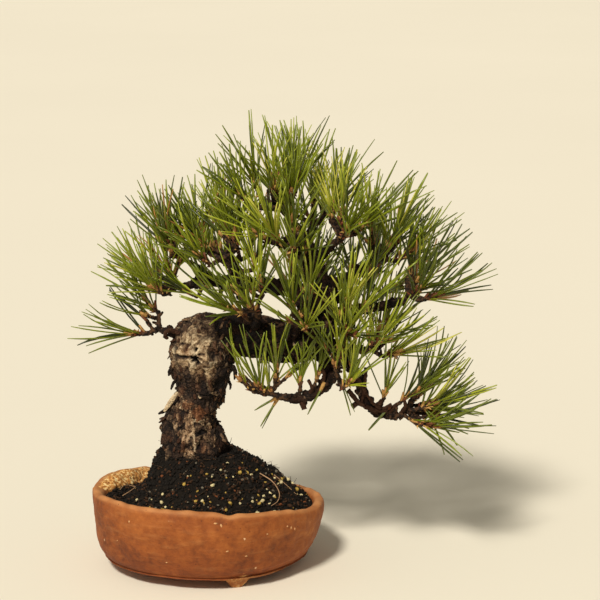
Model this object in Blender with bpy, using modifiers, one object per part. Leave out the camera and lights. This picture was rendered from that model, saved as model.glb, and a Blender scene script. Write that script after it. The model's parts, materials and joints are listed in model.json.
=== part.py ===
"""Japanese black pine bonsai in a round, hand-pinched terracotta bowl.

Units are metres and +Z is up. The front is towards -Y, and +X is to the right of it. Every shape is
worked out about the pot's axis, with the undersides of the feet at height zero. One empty carries
them all, and puts the middle of the whole plant's box over the origin.
"""

import math
import random

import bmesh
import bpy
import numpy as np
from mathutils import Matrix, Vector, noise

MM = 0.001
GAP = 0.3 * MM  # between neighbouring solids
GOLDEN_ANGLE = math.pi * (3 - math.sqrt(5))

# Pot: outer and inner sections as (radius, height) pairs, from the rim inwards
POT_TURNS = 32
RIM_HEIGHT = 37 * MM
BASE_UNDERSIDE = 6 * MM
BASE_TOP = 12 * MM
POT_OUTSIDE = [(56.4, 37), (58.0, 36), (58.5, 33), (58, 26), (56, 17.5), (52.2, 9.5), (49, 6.7), (46, 6)]
POT_INSIDE = [(42, 12), (48.2, 15), (51.2, 22), (52.6, 29), (53, 34), (54.4, 36.4)]
LUMP_ANGLE = math.radians(144)  # where the rim is thickest, behind and to the left
LUMP_SPREAD = math.radians(23)
LUMP_LIFT = 1.8 * MM
LUMP_THICKNESS = 12 * MM
LUMP_TOP_SHARE = 0.25  # of the thickness that is left at the rim's edge
LEAN_LEFT = 1.2 * MM  # of the rim
DIP_FROM = (math.radians(-55), math.radians(-25))  # the rim falls between these angles,
DIP_TO = (math.radians(110), math.radians(130))  # and rises again between these
DIP_DEPTH = 2.4 * MM
RIM_TILT_X = -2.3 * MM  # the rim's height goes down towards the right,
RIM_TILT_Y = -5.4 * MM  # and towards the back
ROUND_WAVES = [(0.007, 2, 0.8), (0.005, 5, 2.2)]  # of the radius: share, waves round and phase
RIM_WAVES = [(0.4 * MM, 3, 0.9), (0.3 * MM, 7, 0.3)]  # of the rim: height, waves round and phase
DENT_DEPTH = 0.9 * MM  # left by a finger
DENT_ANGLE = math.radians(-42)
DENT_SPREAD = math.radians(11)
DENT_HEIGHT = 19 * MM
DENT_REACH = 7 * MM
BASE_PUSH = 4.3 * MM  # the wall's foot goes out on the left
BASE_PUSH_ANGLE = math.radians(-165)
BASE_PUSH_SPREAD = math.radians(30)
BASE_PUSH_TOP = 26 * MM
FOOT_ANGLES = [math.radians(angle) for angle in (-71, 49, 169)]
FOOT_DISTANCE = 45 * MM
FOOT_TOP_RADIUS = 9 * MM
FOOT_BOTTOM_RADIUS = 4.5 * MM
FOOT_SUNK = 2 * MM

# Soil: a mound that is steep on the left, with a level place for the trunk's foot
SOIL_TOP = 57.7 * MM
SOIL_EDGE = 34 * MM
TRUNK_FOOT_X = -7 * MM
LEVEL_PART = 0.35  # of the way out to the pot
MOUND_RINGS = [0.0, LEVEL_PART, 0.44, 0.53, 0.62, 0.71, 0.8, 0.9, 1.0]
MOUND_CURVE = 1.35
LEFT_STEEPNESS = 5
LUMPY_DEPTH = 2.4 * MM
LUMPY_SIZE = 6.5 * MM

# Trunk: centre line and radius as (x, y, z, radius) in millimetres
STUMP = [
    (-7, 0, 58, 16.0), (-8, 0, 64, 15.4), (-9.5, 0, 70, 13.9), (-8.5, 0, 76.5, 12.3), (-6.7, 0, 82, 11.3),
    (-4.7, 0, 88, 12.2), (-3.7, 0, 94, 13.0), (-3.3, 0, 101, 15.3), (-3, 0, 107, 16.2), (-2.2, 0, 113, 15.6),
    (-1.8, 0, 118, 14.6), (-1.2, 0, 123, 12.0), (-1, 0, 126.5, 7.8), (-1, 0, 128.8, 2.5),
]  # fmt: skip
LEADER = [
    (-2, 0, 114, 9.0), (8, 0, 117, 10.6), (20, -1, 118, 11.0), (32, -2, 116, 10.5), (44, -2, 114, 9.8),
    (53, -1, 118, 9.0), (57.5, 0, 127, 7.8), (56.5, 1, 138, 6.8), (53.5, 2, 150, 5.6), (49, 3, 162, 4.2),
    (43, 3, 173, 2.4),
]  # fmt: skip
FLARE_LOBES = 5
FLARE_HEIGHT = 13 * MM
FLARE_PHASE = 0.7
FLARE_WIDTH = 0.03  # of the radius
LOBE_DEPTH = 0.075
FOOT_CUT = 5 * MM  # how far up the trunk's lowest ring is made level
BARK_DEPTH = 1.6 * MM
BARK_REACH = 1 * MM  # the furthest that the bark stands out
STUMP_BARK_SIZE = 5.5 * MM
LEADER_BARK_DEPTH = 0.72 * MM
LEADER_BARK_SIZE = 6 * MM
PATH_STEP = 5  # between the points of a limb's line, in millimetres

# Boughs: name, what it grows from, first and last radius, and its centre line in millimetres
BOUGHS = [
    ("left_bough", "trunk", 4.4, 2.2,
     [(55, 2, 134), (40, 7, 140), (24, 9, 142), (8, 9, 143), (-2, 8, 144), (-9, 7, 142)]),
    ("left_top_bough", "left_bough", 2.0, 1.6, [(2, 8.5, 144), (-3, 7.5, 149), (-7, 7, 152)]),
    ("upper_left_bough", "left_bough", 2.4, 1.8, [(18, 9, 142.5), (15, 6, 149), (13, 3, 154)]),
    ("left_low_bough", "trunk", 2.6, 1.8, [(-8, -1, 116), (-18, -2, 119.5), (-22, -2, 120.5)]),
    ("back_left_bough", "trunk", 3.0, 2.0, [(24, 0, 118), (20, 16, 128), (15, 26, 136), (12, 31, 142)]),
    ("back_middle_bough", "trunk", 3.0, 2.0, [(46, 0, 115), (47, 15, 123), (46, 27, 129)]),
    ("back_right_bough", "trunk", 2.8, 2.0, [(57, 1, 131), (66, 12, 135), (74, 20, 136)]),
    ("upper_front_bough", "trunk", 2.2, 1.7, [(51, 3, 157), (45, -5, 161), (42, -9, 163)]),
    ("apex_back_bough", "trunk", 2.4, 1.8, [(48, 3, 163), (51, 11, 166), (52, 17, 168)]),
    ("upper_right_bough", "trunk", 2.8, 1.9, [(52, 2, 153), (58, 0, 160), (62, -2, 164)]),
    ("right_bough", "trunk", 3.6, 2.2, [(56, 1, 140), (67, 3, 145), (76, 4, 150), (81, 4, 153)]),
    ("right_low_bough", "trunk", 3.2, 2.0, [(57, 0, 124), (70, 1, 130), (84, 1, 132), (96, 0, 135)]),
    ("right_middle_bough", "trunk", 3.8, 2.2, [(53, -1, 116), (66, -3, 112), (75, -4, 111)]),
    ("front_right_bough", "trunk", 2.6, 1.8, [(56, -1, 120), (62, -9, 121), (65, -13, 123)]),
    ("front_middle_bough", "trunk", 2.4, 1.8, [(42, -2, 115), (44, -12, 123), (45, -16, 127)]),
    ("front_left_bough", "trunk", 2.4, 1.8, [(22, -1, 118), (24, -12, 126), (25, -15, 131)]),
    ("low_front_bough", "trunk", 3.2, 2.0,
     [(53, -3, 114), (59, -9, 105), (60, -12, 97), (54, -13.5, 91.5), (46, -14.5, 88.5), (38, -15, 89.5)]),
    ("low_right_bough", "low_front_bough", 2.2, 1.7, [(60, -11.5, 97.5), (62, -15, 100), (63, -16, 101)]),
    ("cascade_bough", "right_middle_bough", 2.8, 2.2,
     [(66, -3.5, 112), (71, -5, 105), (75.5, -5.5, 96), (78.5, -5, 86.5), (85, -4.5, 79.5), (93, -4, 77)]),
]  # fmt: skip

# Masses: name, limb, heart, way it faces, half-width, height and number of shoots, in millimetres
MASSES = [
    ("apex_foliage", "trunk", (36, 2, 183), (-0.05, -0.1, 1.0), 16, 5, 6),
    ("apex_back_foliage", "apex_back_bough", (52, 23, 171), (0.1, 0.7, 0.7), 11, 4, 4),
    ("upper_left_foliage", "upper_left_bough", (11, 0, 159), (-0.45, -0.1, 0.9), 14, 5, 5),
    ("upper_front_foliage", "upper_front_bough", (38, -15, 167), (-0.3, -0.65, 0.7), 9, 3, 4),
    ("left_top_foliage", "left_top_bough", (-14, 5, 157), (-0.3, 0.0, 0.95), 8, 3, 3),
    ("left_foliage", "left_bough", (-19, 6, 140), (-0.75, 0.0, 0.65), 9, 3, 4),
    ("left_low_foliage", "left_low_bough", (-24.5, -2, 121.5), (-1.0, -0.05, 0.05), 4, 2, 2),
    ("front_left_foliage", "front_left_bough", (25, -19, 136), (-0.35, -0.7, 0.5), 9, 3, 3),
    ("front_middle_foliage", "front_middle_bough", (46, -21, 131), (0.0, -0.8, 0.5), 9, 3, 3),
    ("front_right_foliage", "front_right_bough", (68, -17, 127), (0.3, -0.65, 0.6), 9, 3, 3),
    ("upper_right_foliage", "upper_right_bough", (66, -3, 169), (0.4, -0.1, 0.9), 10, 4, 4),
    ("right_top_foliage", "right_bough", (87, 4, 157), (0.4, 0.0, 0.9), 9, 4, 4),
    ("right_foliage", "right_low_bough", (100, 0, 139), (0.82, 0.0, 0.5), 10, 4, 4),
    ("right_middle_foliage", "right_middle_bough", (82, -4, 112), (0.85, -0.1, 0.4), 10, 4, 4),
    ("cascade_foliage", "cascade_bough", (101, -3, 80), (0.98, 0.0, 0.15), 10, 4, 5),
    ("low_front_foliage", "low_front_bough", (30, -15, 92), (-0.35, -0.5, 0.75), 8, 2, 3),
    ("low_right_foliage", "low_right_bough", (64, -17, 103), (0.3, -0.5, 0.8), 8, 2, 3),
    ("back_left_foliage", "back_left_bough", (10, 37, 147), (-0.35, 0.75, 0.55), 11, 4, 4),
    ("back_middle_foliage", "back_middle_bough", (46, 34, 134), (0.0, 0.9, 0.4), 11, 4, 4),
    ("back_right_foliage", "back_right_bough", (81, 26, 138), (0.5, 0.75, 0.4), 11, 4, 4),
]  # fmt: skip

# Shoots and needles
DOME_START = 0.35  # how near the first shoot is to the middle of the dome
SHOOT_LEAN = (0.75, 1.0)
SHOOT_RISE = 0.25
SHOOT_LENGTH = 9 * MM
SHOOT_RADIUS = 1.5 * MM
TWIG_RADIUS = 1.2 * MM
FORK_SPAN = 0.25  # of the stem, in which the twigs fork off
NEEDLES_PER_SHOOT = 8
NEEDLE_LENGTH = 36 * MM
NEEDLE_LENGTHS = (0.88, 1.0)
LOW_NEEDLE_SHARE = 0.82  # of the length, at a shoot's foot
NEEDLE_RADIUS = 0.95 * MM  # at the root: each tapers to a point
FIRST_NEEDLE = 0.12  # of the way up a shoot
NEEDLE_SPAN = 0.8
OPENING_LOW = math.radians(50)  # of the needles at a shoot's foot, from its axis
OPENING_HIGH = math.radians(12)
OPENING_CURVE = 0.8
TURN_UP = 0.18  # how far needles bend towards the light
DEPTH_TURN_UP = 0.45  # how much further, on shoots that face the front or the back
NEEDLE_TRIES = 12
TRY_SPREAD = 0.1  # how much further each new try may turn a needle
TRY_OPENING = 0.4
SHOOT_TRIES = 10
SHOOT_NUDGE = 0.8 * MM
OVER_POT = 75 * MM  # needles to the left of this stay above the next height
LOWEST_NEEDLE = 62 * MM

BARK = ((0.115, 0.08, 0.06), 0.9)
FOLIAGE = ((0.1, 0.19, 0.03), 0.55)
CLAY = ((0.42, 0.17, 0.07), 0.85)
EARTH = ((0.03, 0.024, 0.018), 0.95)


def clear_scene():
    for obj in list(bpy.data.objects):
        bpy.data.objects.remove(obj, do_unlink=True)


def finish(name, colour, roughness):
    """A plain Principled material of one node."""
    material = bpy.data.materials.new(name)
    material.use_nodes = True
    shader = material.node_tree.nodes["Principled BSDF"]
    shader.inputs["Base Color"].default_value = (*colour, 1)
    shader.inputs["Roughness"].default_value = roughness
    return material


def add_object(name, data, collection, look=None):
    obj = bpy.data.objects.new(name, data)
    collection.objects.link(obj)
    if look:
        data.materials.clear()
        data.materials.append(finish(name, *look))
    return obj


def evaluated_mesh(obj):
    """The mesh that an object's modifiers or curve settings give, with loose caps welded."""
    graph = bpy.context.evaluated_depsgraph_get()
    mesh = bpy.data.meshes.new_from_object(obj.evaluated_get(graph))
    bm = bmesh.new()
    bm.from_mesh(mesh)
    bmesh.ops.remove_doubles(bm, verts=bm.verts, dist=1e-6)
    bmesh.ops.recalc_face_normals(bm, faces=bm.faces)
    bm.to_mesh(mesh)
    bm.free()
    return mesh


def replace_mesh(obj, mesh):
    """Give an object its own evaluated mesh in place of its modifiers."""
    obj.modifiers.clear()
    look = [slot.material for slot in obj.material_slots]
    obj.data = mesh
    mesh.materials.clear()
    for material in look:
        mesh.materials.append(material)


def keep_largest_shell(mesh):
    """Drop loose scraps, and fill sealed hollows by dropping their walls."""
    bm = bmesh.new()
    bm.from_mesh(mesh)
    bmesh.ops.dissolve_degenerate(bm, dist=1e-7, edges=bm.edges)
    bmesh.ops.triangulate(bm, faces=bm.faces)
    left = set(bm.faces)
    shells = []
    while left:
        shell = []
        stack = [left.pop()]
        while stack:
            face = stack.pop()
            shell.append(face)
            for edge in face.edges:
                for other in edge.link_faces:
                    if other in left:
                        left.remove(other)
                        stack.append(other)
        shells.append(shell)
    shells.sort(key=len)
    scraps = [face for shell in shells[:-1] for face in shell]
    bmesh.ops.delete(bm, geom=scraps, context="FACES")
    bm.to_mesh(mesh)
    bm.free()


def bell(away, spread):
    """A smooth bump of height 1."""
    return math.exp(-0.5 * (away / spread) ** 2)


def bell_round(angle, middle, spread):
    """The same bump round a circle."""
    return bell(math.remainder(angle - middle, math.tau), spread)


def waves(rows, angle):
    return sum(size * math.sin(count * angle + phase) for size, count, phase in rows)


def smooth_step(low, high, value):
    part = min(max((value - low) / (high - low), 0.0), 1.0)
    return part * part * (3 - 2 * part)


def hand_pinched(point, inner=False):
    """Move a point of the turned bowl, or of the soil in it, to where the potter's hand left it."""
    radius = math.hypot(point.x, point.y)
    angle = math.atan2(point.y, point.x)
    upper = smooth_step(BASE_UNDERSIDE, RIM_HEIGHT, point.z)
    rim = smooth_step(RIM_HEIGHT - 17 * MM, RIM_HEIGHT, point.z)
    top = smooth_step(RIM_HEIGHT - 4 * MM, RIM_HEIGHT + MM, point.z)
    lump = bell_round(angle, LUMP_ANGLE, LUMP_SPREAD)
    radius *= 1 + upper * waves(ROUND_WAVES, angle)
    dent = bell_round(angle, DENT_ANGLE, DENT_SPREAD) * bell(point.z - DENT_HEIGHT, DENT_REACH)
    radius -= DENT_DEPTH * dent
    if inner:
        radius -= LUMP_THICKNESS * lump * (1 - (1 - LUMP_TOP_SHARE) * top)
    elif radius > 0:
        low = 1 - smooth_step(BASE_UNDERSIDE, BASE_PUSH_TOP, point.z)
        radius += BASE_PUSH * low * bell_round(angle, BASE_PUSH_ANGLE, BASE_PUSH_SPREAD)
    dip = DIP_DEPTH * smooth_step(*DIP_FROM, angle) * (1 - smooth_step(*DIP_TO, angle))
    wave = waves(RIM_WAVES, angle) + RIM_TILT_X * math.cos(angle) + RIM_TILT_Y * math.sin(angle)
    height = point.z + rim * (wave - dip) + top * LUMP_LIFT * lump
    return Vector((radius * math.cos(angle) - LEAN_LEFT * upper, radius * math.sin(angle), height))


def turned(name, section, collection, look):
    """A solid turned round the Z axis from (radius, height) points, as a plain mesh."""
    mesh = bpy.data.meshes.new(name)
    bm = bmesh.new()
    points = [bm.verts.new((radius, 0, height)) for radius, height in section]
    for first, second in zip(points, points[1:]):
        bm.edges.new((first, second))
    bm.to_mesh(mesh)
    bm.free()
    obj = add_object(name, mesh, collection, look)
    screw = obj.modifiers.new("turn", "SCREW")
    screw.axis = "Z"
    screw.steps = POT_TURNS
    screw.render_steps = POT_TURNS
    screw.use_merge_vertices = True
    screw.merge_threshold = 1e-5
    replace_mesh(obj, evaluated_mesh(obj))
    return obj


def make_pot(collection):
    inside = [(0, BASE_TOP / MM)] + POT_INSIDE
    outside = POT_OUTSIDE + [(0, BASE_UNDERSIDE / MM)]
    section = [(radius * MM, height * MM) for radius, height in inside + outside]
    inner_faces = {round(radius, 3) for radius, _ in POT_INSIDE}
    pot = turned("pot", section, collection, CLAY)
    for vertex in pot.data.vertices:
        radius = round(math.hypot(vertex.co.x, vertex.co.y) / MM, 3)
        vertex.co = hand_pinched(vertex.co, inner=radius in inner_faces)
    feet = bpy.data.collections.new("feet")
    bpy.context.scene.collection.children.link(feet)
    for angle in FOOT_ANGLES:
        foot = bpy.data.meshes.new("foot")
        bm = bmesh.new()
        height = BASE_UNDERSIDE + FOOT_SUNK
        place = Matrix.Rotation(angle, 4, "Z") @ Matrix.Translation((FOOT_DISTANCE, 0, height / 2))
        bmesh.ops.create_cone(
            bm, cap_ends=True, segments=8, radius1=FOOT_BOTTOM_RADIUS, radius2=FOOT_TOP_RADIUS,
            depth=height, matrix=place @ Matrix.Diagonal((0.55, 1, 1, 1)),
        )  # fmt: skip
        bm.to_mesh(foot)
        bm.free()
        add_object("foot", foot, feet)
    join_collection(pot, feet)
    return pot


def join_collection(obj, pieces):
    """One Boolean union of an object with every piece in a collection, which is then removed."""
    union = obj.modifiers.new("join", "BOOLEAN")
    union.operation = "UNION"
    union.operand_type = "COLLECTION"
    union.collection = pieces
    union.solver = "EXACT"
    mesh = evaluated_mesh(obj)
    replace_mesh(obj, mesh)
    for piece in list(pieces.objects):
        bpy.data.objects.remove(piece, do_unlink=True)
    bpy.data.collections.remove(pieces)
    keep_largest_shell(mesh)


def cut_clear(obj, neighbour):
    """Cut an object back to a gap's width from the solid that it grows from."""
    grown = neighbour.data.copy()
    for vertex, normal in zip(grown.vertices, neighbour.data.vertex_normals):
        vertex.co += normal.vector * GAP * 1.2
    cutter = add_object("cutter", grown, bpy.context.scene.collection)
    cut = obj.modifiers.new("cut", "BOOLEAN")
    cut.operation = "DIFFERENCE"
    cut.solver = "EXACT"
    cut.object = cutter
    mesh = evaluated_mesh(obj)
    replace_mesh(obj, mesh)
    bpy.data.objects.remove(cutter, do_unlink=True)
    keep_largest_shell(mesh)


def make_soil(collection):
    edge = POT_INSIDE[-2][0] * MM - GAP
    section = [(edge * ring, SOIL_TOP) for ring in MOUND_RINGS]
    wall = [(radius * MM - GAP * 1.3, height * MM + GAP) for radius, height in reversed(POT_INSIDE[:-2])]
    section += wall + [(0, BASE_TOP + GAP)]
    soil = turned("soil", section, collection, EARTH)
    for vertex in soil.data.vertices:
        on_top = vertex.co.z > SOIL_TOP - 1e-6
        if on_top:
            out = math.hypot(vertex.co.x, vertex.co.y) / edge
            slope = min(max((out - LEVEL_PART) / (1 - LEVEL_PART), 0.0), 1.0)
            leftness = max(-vertex.co.x / max(edge * out, 1e-6), 0.0)
            hill = (1 - slope**MOUND_CURVE) ** (1 + LEFT_STEEPNESS * leftness**2)
            vertex.co.z = SOIL_EDGE + (SOIL_TOP - SOIL_EDGE) * hill
            if 0.01 < slope < 0.99:
                vertex.co.z += LUMPY_DEPTH * noise.noise(vertex.co / LUMPY_SIZE)
            rim_point = Vector((vertex.co.x / max(out, 1e-6), vertex.co.y / max(out, 1e-6), SOIL_EDGE))
            vertex.co += (hand_pinched(rim_point, inner=True) - rim_point) * slope
            vertex.co.x += TRUNK_FOOT_X * (1 - slope)
        else:
            vertex.co = hand_pinched(vertex.co, inner=True)
    return soil


def smooth_path(rows):
    """Points on a smooth curve through rows of numbers, the first three of which are a place."""
    rows = [np.array(row, float) for row in rows]
    rows = [2 * rows[0] - rows[1], *rows, 2 * rows[-1] - rows[-2]]
    path = []
    for before, start, end, after in zip(rows, rows[1:], rows[2:], rows[3:]):
        count = max(round(np.linalg.norm((end - start)[:3]) / PATH_STEP), 1)
        for index in range(count):
            t = index / count
            path.append(
                0.5 * (2 * start + (end - before) * t + (2 * before - 5 * start + 4 * end - after) * t**2
                + (3 * start - before - 3 * end + after) * t**3)
            )  # fmt: skip
    path.append(rows[-2])
    return path


def limb(name, path, resolution, collection, look=None):
    """A tapering limb along (x, y, z, radius) rows in millimetres, as a mesh object."""
    curve = bpy.data.curves.new(name, "CURVE")
    curve.dimensions = "3D"
    curve.bevel_depth = 1
    curve.bevel_resolution = resolution
    curve.use_fill_caps = True
    spline = curve.splines.new("POLY")
    spline.points.add(len(path) - 1)
    for point, (x, y, z, radius) in zip(spline.points, path):
        point.co = (x * MM, y * MM, z * MM, 1)
        point.radius = radius * MM
    guide = add_object(name + "_line", curve, bpy.context.scene.collection)
    mesh = evaluated_mesh(guide)
    bpy.data.objects.remove(guide, do_unlink=True)
    return add_object(name, mesh, collection, look)


def roughen(mesh, depth, size):
    """Bark: move each point of a limb out or in by a noise of the given size."""
    mesh.update()
    moves = [normal.vector * depth * noise.noise(vertex.co / size) for vertex, normal in
             zip(mesh.vertices, mesh.vertex_normals)]  # fmt: skip
    for vertex, move in zip(mesh.vertices, moves):
        vertex.co += move


def make_trunk(collection):
    """The short trunk, its knuckle, and the leader that leaves it level and then rises to the apex."""
    trunk = limb("trunk", smooth_path(STUMP), 7, collection, BARK)
    foot = SOIL_TOP + GAP
    lowest = min(vertex.co.z for vertex in trunk.data.vertices)
    for vertex in trunk.data.vertices:
        above = vertex.co.z - foot
        flare = (1 - smooth_step(0, FLARE_HEIGHT, above)) ** 2
        angle = math.atan2(vertex.co.y, vertex.co.x - TRUNK_FOOT_X)
        lobes = 1 + flare * (FLARE_WIDTH + LOBE_DEPTH * math.sin(FLARE_LOBES * angle + FLARE_PHASE))
        vertex.co.x = TRUNK_FOOT_X + (vertex.co.x - TRUNK_FOOT_X) * lobes
        vertex.co.y *= lobes
    roughen(trunk.data, BARK_DEPTH, STUMP_BARK_SIZE)
    for vertex in trunk.data.vertices:
        if vertex.co.z < lowest + FOOT_CUT:
            vertex.co.z = foot
    leader = bpy.data.collections.new("leader")
    bpy.context.scene.collection.children.link(leader)
    piece = limb("leader", smooth_path(LEADER), 5, leader)
    roughen(piece.data, LEADER_BARK_DEPTH, LEADER_BARK_SIZE)
    join_collection(trunk, leader)
    return trunk


def bough_path(first, last, line):
    """A bough's line, with a radius that falls evenly from first to last."""
    steps = len(line) - 1
    rows = [(*place, first + (last - first) * index / steps) for index, place in enumerate(line)]
    return smooth_path(rows)


def make_boughs(collection, limbs):
    """Each bough starts inside its parent, and is cut back to the parent's bark."""
    for name, parent, first, last, line in BOUGHS:
        limbs[name] = limb(name, bough_path(first, last, line), 1, collection, BARK)
        cut_clear(limbs[name], limbs[parent])


def limb_segments():
    """The trunk and the boughs as straight segments: rows of start, end and radius."""
    paths = [smooth_path(STUMP), smooth_path(LEADER)]
    paths += [bough_path(first, last, line) for _, _, first, last, line in BOUGHS]
    segments = []
    for path in paths:
        for start, end in zip(path, path[1:]):
            segments.append([*start[:3] * MM, *end[:3] * MM, max(start[3], end[3]) * MM + BARK_REACH])
    return np.array(segments)


def least_gap(start, end, radius, segments):
    """The least clear distance from one round segment to any of many."""
    if not len(segments):
        return math.inf
    along = np.array(end) - np.array(start)
    others = segments[:, 3:6] - segments[:, :3]
    offset = np.array(start) - segments[:, :3]
    a = along @ along
    e = (others**2).sum(1)
    b = others @ along
    c = offset @ along
    f = (others * offset).sum(1)
    s = np.clip((b * f - c * e) / np.maximum(a * e - b * b, 1e-15), 0, 1)
    t = np.clip((b * s + f) / e, 0, 1)
    s = np.clip((b * t - c) / a, 0, 1)
    distance = np.linalg.norm(offset + s[:, None] * along - t[:, None] * others, axis=1)
    return (distance - radius - segments[:, 6]).min()


def frustum(start, end, radius1, radius2, sides, collection):
    """A straight tapering twig or needle as its own object."""
    along = end - start
    mesh = bpy.data.meshes.new("twig")
    bm = bmesh.new()
    place = Matrix.Translation((start + end) / 2) @ along.to_track_quat("Z", "X").to_matrix().to_4x4()
    bmesh.ops.create_cone(
        bm, cap_ends=True, segments=sides, radius1=radius1, radius2=radius2,
        depth=along.length, matrix=place,
    )  # fmt: skip
    bm.to_mesh(mesh)
    bm.free()
    return add_object("twig", mesh, collection)


def shoots_of(mass, rng):
    """Foot and direction of each shoot: golden-angle places on a dome that faces the mass's way."""
    _, _, heart, facing, half_width, height, count = mass
    heart = Vector(heart) * MM
    facing = Vector(facing).normalized()
    across = facing.orthogonal().normalized()
    beside = facing.cross(across)
    phase = rng.uniform(0, math.tau)
    for index in range(count):
        out = math.sqrt((index + DOME_START) / count)
        angle = phase + index * GOLDEN_ANGLE
        side = across * math.cos(angle) + beside * math.sin(angle)
        foot = heart + (side * half_width * out + facing * height * math.sqrt(1 - out**2)) * MM
        lean = rng.uniform(*SHOOT_LEAN) * out
        yield foot, (facing + side * lean + Vector((0, 0, SHOOT_RISE))).normalized()


def needle_of(foot, direction, index, phase, rng, spread):
    """Root and tip of one needle: they spiral up the shoot, and close round it towards its tip."""
    along = (index + 0.5) / NEEDLES_PER_SHOOT
    angle = phase + index * GOLDEN_ANGLE + rng.uniform(-spread, spread)
    across = direction.orthogonal().normalized()
    side = across * math.cos(angle) + direction.cross(across) * math.sin(angle)
    opening = OPENING_LOW + (OPENING_HIGH - OPENING_LOW) * along**OPENING_CURVE
    opening += rng.uniform(-spread, spread) * TRY_OPENING
    way = direction * math.cos(opening) + side * math.sin(opening)
    way.z += TURN_UP + DEPTH_TURN_UP * abs(direction.y)
    length = NEEDLE_LENGTH * rng.uniform(*NEEDLE_LENGTHS)
    length *= LOW_NEEDLE_SHARE + (1 - LOW_NEEDLE_SHARE) * along
    root = foot + direction * SHOOT_LENGTH * (FIRST_NEEDLE + NEEDLE_SPAN * along)
    return root, root + way.normalized() * length


def make_mass(mass, limbs, limb_rows, other_rows, collection):
    """Stem, twigs, shoots and needles of one mass, fused, and the segments that they take up."""
    name, bough, heart, *_ = mass
    rng = random.Random(name)
    heart = Vector(heart) * MM
    tip, tip_way, tip_radius = limbs[bough]
    pieces = bpy.data.collections.new(name + "_pieces")
    bpy.context.scene.collection.children.link(pieces)
    seat = tip + tip_way * GAP
    bend = tip + tip_way * tip_radius * 1.2
    line = [
        (*(place / MM), radius / MM)
        for place, radius in ((seat, tip_radius), (bend, tip_radius), (heart, TWIG_RADIUS))
    ]
    stem = limb(name, line, 1, collection, FOLIAGE)
    others = np.vstack([limb_rows, *other_rows])
    rows = [[*(tip + tip_way * GAP * 4), *heart, tip_radius]]
    for home, direction in shoots_of(mass, rng):
        fork = heart.lerp(bend, rng.uniform(0.0, FORK_SPAN))
        for attempt in range(SHOOT_TRIES):
            nudge = Vector([rng.uniform(-1, 1) for _ in range(3)])
            foot = home + nudge * SHOOT_NUDGE * attempt
            shoot_end = foot + direction * SHOOT_LENGTH
            twig_gap = least_gap(fork.lerp(foot, 0.4), foot, TWIG_RADIUS, others)
            if min(twig_gap, least_gap(foot, shoot_end, SHOOT_RADIUS, others)) > GAP:
                break
        else:
            continue
        frustum(fork, foot + (foot - fork).normalized() * MM, TWIG_RADIUS, TWIG_RADIUS, 4, pieces)
        frustum(foot - direction * MM, shoot_end, SHOOT_RADIUS, SHOOT_RADIUS, 4, pieces)
        rows.append([*fork, *foot, TWIG_RADIUS])
        rows.append([*foot, *shoot_end, SHOOT_RADIUS])
        phase = rng.uniform(0, math.tau)
        for index in range(NEEDLES_PER_SHOOT):
            for attempt in range(NEEDLE_TRIES):
                root, point = needle_of(foot, direction, index, phase, rng, TRY_SPREAD * attempt)
                low = point.z < LOWEST_NEEDLE and point.x < OVER_POT
                if not low and least_gap(root, point, NEEDLE_RADIUS, others) > GAP:
                    break
            else:
                continue
            frustum(root, point, NEEDLE_RADIUS, 0, 3, pieces)
            rows.append([*root, *point, NEEDLE_RADIUS])
    join_collection(stem, pieces)
    return np.array(rows)


def limb_ends():
    """Tip, direction and radius of each limb that a mass grows on."""
    ends = {}
    paths = {"trunk": LEADER}
    for name, _, first, last, line in BOUGHS:
        paths[name] = [(*place, last) for place in line]
    for name, path in paths.items():
        before, tip = (Vector(row[:3]) * MM for row in path[-2:])
        ends[name] = (tip, (tip - before).normalized(), path[-1][3] * MM)
    return ends


def centre_on_origin(axis, collection):
    """Move the empty that carries the plant, so that its box stands centred over the origin."""
    places = np.array([vertex.co for obj in collection.objects if obj.type == "MESH"
                       for vertex in obj.data.vertices])  # fmt: skip
    middle = (places.min(0) + places.max(0)) / 2
    axis.location = (-middle[0], -middle[1], -places[:, 2].min())


def main():
    clear_scene()
    collection = bpy.data.collections.new("black_pine_bonsai")
    bpy.context.scene.collection.children.link(collection)
    make_pot(collection)
    make_soil(collection)
    limbs = {"trunk": make_trunk(collection)}
    make_boughs(collection, limbs)
    ends = limb_ends()
    limb_rows = limb_segments()
    taken = []
    for mass in MASSES:
        taken.append(make_mass(mass, ends, limb_rows, taken, collection))
    axis = bpy.data.objects.new("pot_axis", None)
    collection.objects.link(axis)
    for obj in collection.objects:
        if obj.type == "MESH":
            obj.parent = axis
    centre_on_origin(axis, collection)


main()
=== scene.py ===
"""The looks of a japanese black pine bonsai in a round, hand-pinched terracotta bowl.

The tables and the growth rule below are those of the part's source, so every limb and shoot grows where its
solid is. Finer twigs, paired needles, bark, soil grains and worked clay are built on them. Shapes are worked
out about the pot's axis, in metres, and moved to AXIS as each mesh is made.
"""

import json
import math
import random

import bpy
import numpy as np
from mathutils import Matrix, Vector, noise
from mathutils.kdtree import KDTree


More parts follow.
